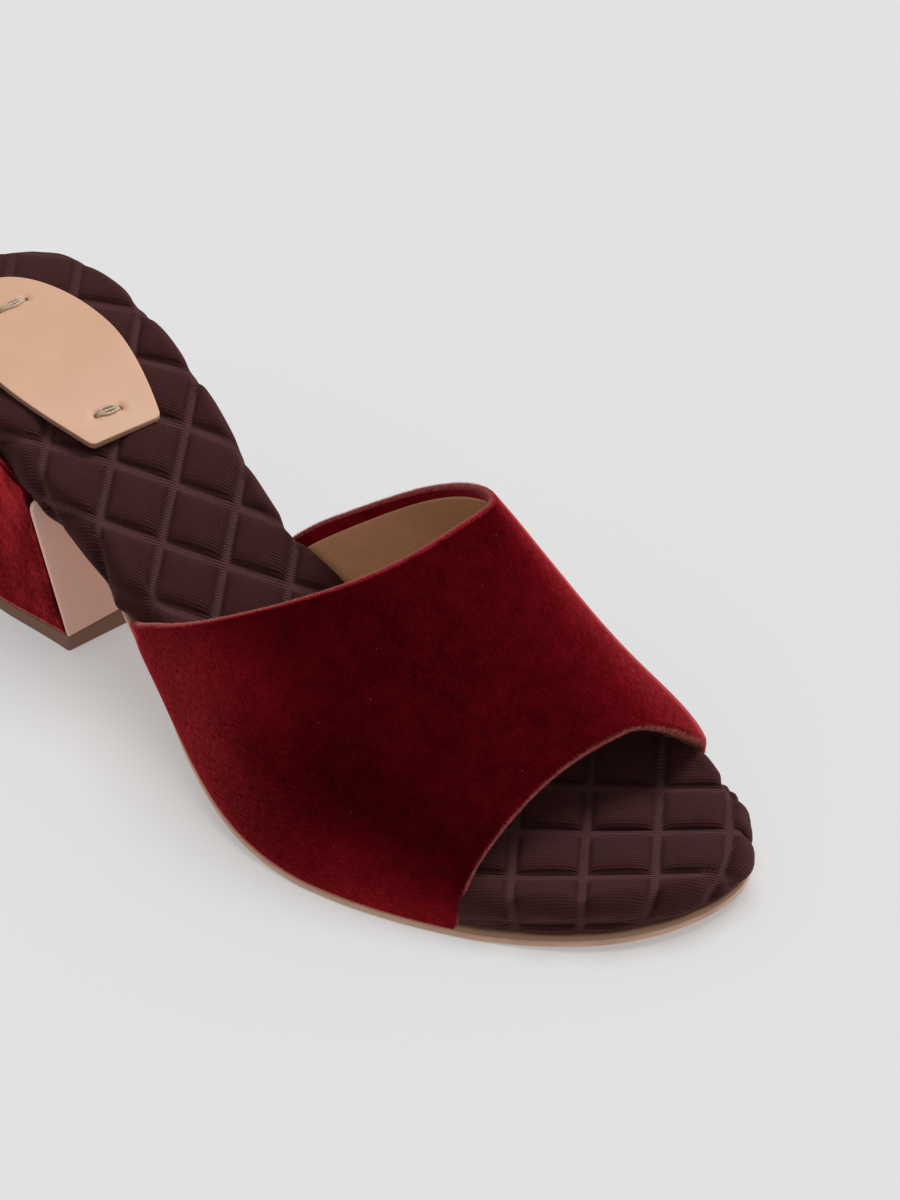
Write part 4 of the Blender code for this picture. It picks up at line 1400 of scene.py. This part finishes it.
class MuleColours(bpy.types.PropertyGroup):
    """Colours of the shoe"""

    velvet_dark: colour("Velvet, end on", "Velvet seen into its pile", 0.026, 0.0005, 0.0013)
    velvet_light: colour("Velvet, brushed", "Velvet where its pile lies over", 0.20, 0.0045, 0.0095)
    # painted sheen, mixed into the velvet's colour towards grazing angles of view
    velvet_painted_sheen: colour("Velvet, from the side", "Velvet seen along its surface", 0.31, 0.030, 0.033)
    # open pile on the rolled edges, and the painted highlight at grazing silhouettes
    velvet_open_pile_and_highlight: colour("Velvet edge", "Open pile on the rolled edges", 1.0, 0.28, 0.26)
    velvet_sheen: colour("Velvet sheen", "Light that the pile throws back", 1.0, 0.044, 0.069)
    velvet_fibre: colour("Velvet fibre", "Single fibre of the pile", 1.0, 0.36, 0.34)
    velvet_lint: colour("Lint", "Loose fibres on the cloth", 0.42, 0.20, 0.17)
    knit: colour("Knit", "Cells of the footbed", 0.051, 0.0168, 0.0160)
    # lighter than the cells: partly a smoother knit, partly painted light on the upward floor
    knit_groove_lit: colour("Knit groove", "Floor of the quilting's grooves", 0.097, 0.041, 0.040)
    # painted shade between the ribs and at the creases of the grooves
    knit_painted_shade: colour("Knit shade", "Between the ribs", 0.024, 0.008, 0.008)
    knit_worn: colour("Knit, worn", "Lighter patches of the knit", 0.060, 0.021, 0.020)
    knit_sheen: colour("Knit sheen", "Light that the knit throws back", 0.50, 0.24, 0.24)
    lining: colour("Lining", "Leather inside the vamp", 0.80, 0.41, 0.215)
    lining_shade: colour("Lining, darker", "Darker patches of the lining", 0.64, 0.32, 0.16)
    patch: colour("Patch", "Leather on the heel seat", 0.72, 0.43, 0.285)
    patch_shade: colour("Patch, darker", "Darker patches of that leather", 0.66, 0.385, 0.25)
    patch_cut: colour("Patch edge", "Cut edge of that leather", 0.38, 0.19, 0.14)
    # painted shade in the stitch holes
    hole: colour("Hole", "Holes of the stitches", 0.06, 0.03, 0.02)
    breast: colour("Breast", "Leather on the front of the heel", 0.83, 0.52, 0.42)
    breast_shade: colour("Breast, darker", "Darker patches of that leather", 0.77, 0.47, 0.37)
    sole: colour("Sole", "Edge and underside of the sole", 0.72, 0.46, 0.33)
    sole_shade: colour("Sole, darker", "Fibres of the sole's edge", 0.48, 0.28, 0.19)
    # painted shadow of the pad on the upper half of the sole's edge
    sole_rim_shadow: colour("Sole rim", "Upper half of the sole's edge", 0.28, 0.15, 0.09)
    rubber: colour("Rubber", "Rubber under the heel", 0.20, 0.095, 0.065)
    rubber_worn: colour("Rubber, sanded", "Sanded edge of the rubber", 0.28, 0.145, 0.10)
    thread: colour("Thread", "Waxed thread of the stitches", 0.62, 0.45, 0.32)
    thread_shade: colour("Thread, darker", "Darker parts of the thread", 0.46, 0.31, 0.20)


class MuleStage(bpy.types.PropertyGroup):
    """Camera, floor and light"""

    camera_turn: angle("Camera turn", "Turn of the camera round the shoe from the toe's side", -44.56)
    camera_rise: angle("Camera rise", "Angle of the line of sight over the floor", 37.77)
    camera_roll: angle("Camera roll", "Turn of the camera about its line of sight", -0.36)
    camera_distance: length("Camera distance", "Distance from the camera to what it points at", 1208.8)
    camera_aim: triple(
        "Camera aim", "Point in the middle of the picture", 0.03663, -0.01202, 0.02,
        precision=5, subtype="TRANSLATION", unit="LENGTH")
    camera_lens: amount("Lens", "Focal length on a 36 mm sensor", 153.87, unit="CAMERA")
    floor_tone: amount("Floor tone", "Grey of the floor", 0.45, max=1.0, subtype="FACTOR")
    floor_glow: amount("Floor glow", "Light that the floor gives of itself", 0.30)
    sky: amount("Sky", "Strength of the light from all round", 0.44)
    key_power: amount("Key", "Strength of the key light", 2.15)
    key_spread: angle("Key spread", "Angle that the key light fills", 26)
    key_from: triple("Key from", "From the shoe to the key light", 0.85, -0.15, 0.95, subtype="DIRECTION")
    top_power: amount("Top", "Strength of the light on the floor", 1.9)
    top_spread: angle("Top spread", "Angle that the light on the floor fills", 50)
    top_from: triple("Top from", "From the floor to its light", 0.12, -0.05, 1.0, subtype="DIRECTION")


OPERATORS = (MULE_OT_vamp, MULE_OT_footbed, MULE_OT_outsole, MULE_OT_heel, MULE_OT_patch, MULE_OT_stage)
SETTINGS = {"mule_sizes": MuleSizes, "mule_colours": MuleColours, "mule_stage": MuleStage}


class MULE_PT_panel(bpy.types.Panel):
    """Settings of the shoe and the steps that make it"""

    bl_label = "Mule"
    bl_idname = "MULE_PT_panel"
    bl_space_type = "VIEW_3D"
    bl_region_type = "UI"
    bl_category = "Mule"

    def draw(self, context):
        for key, group in SETTINGS.items():
            box = self.layout.box()
            for name in group.__annotations__:
                box.prop(getattr(context.scene, key), name)
        for step in OPERATORS:
            self.layout.operator(step.bl_idname)


CLASSES = (*SETTINGS.values(), *OPERATORS, MULE_PT_panel)


def register():
    for made in CLASSES:
        bpy.utils.register_class(made)
    for name, group in SETTINGS.items():
        setattr(bpy.types.Scene, name, PointerProperty(type=group))


def unregister():
    for name in SETTINGS:
        delattr(bpy.types.Scene, name)
    for made in reversed(CLASSES):
        bpy.utils.unregister_class(made)


def main():
    """Make every piece and the stage."""
    register()
    bpy.ops.mule.vamp()
    bpy.ops.mule.footbed()
    bpy.ops.mule.outsole()
    bpy.ops.mule.heel()
    bpy.ops.mule.patch()
    bpy.ops.mule.stage()


if __name__ == "__main__":
    main()
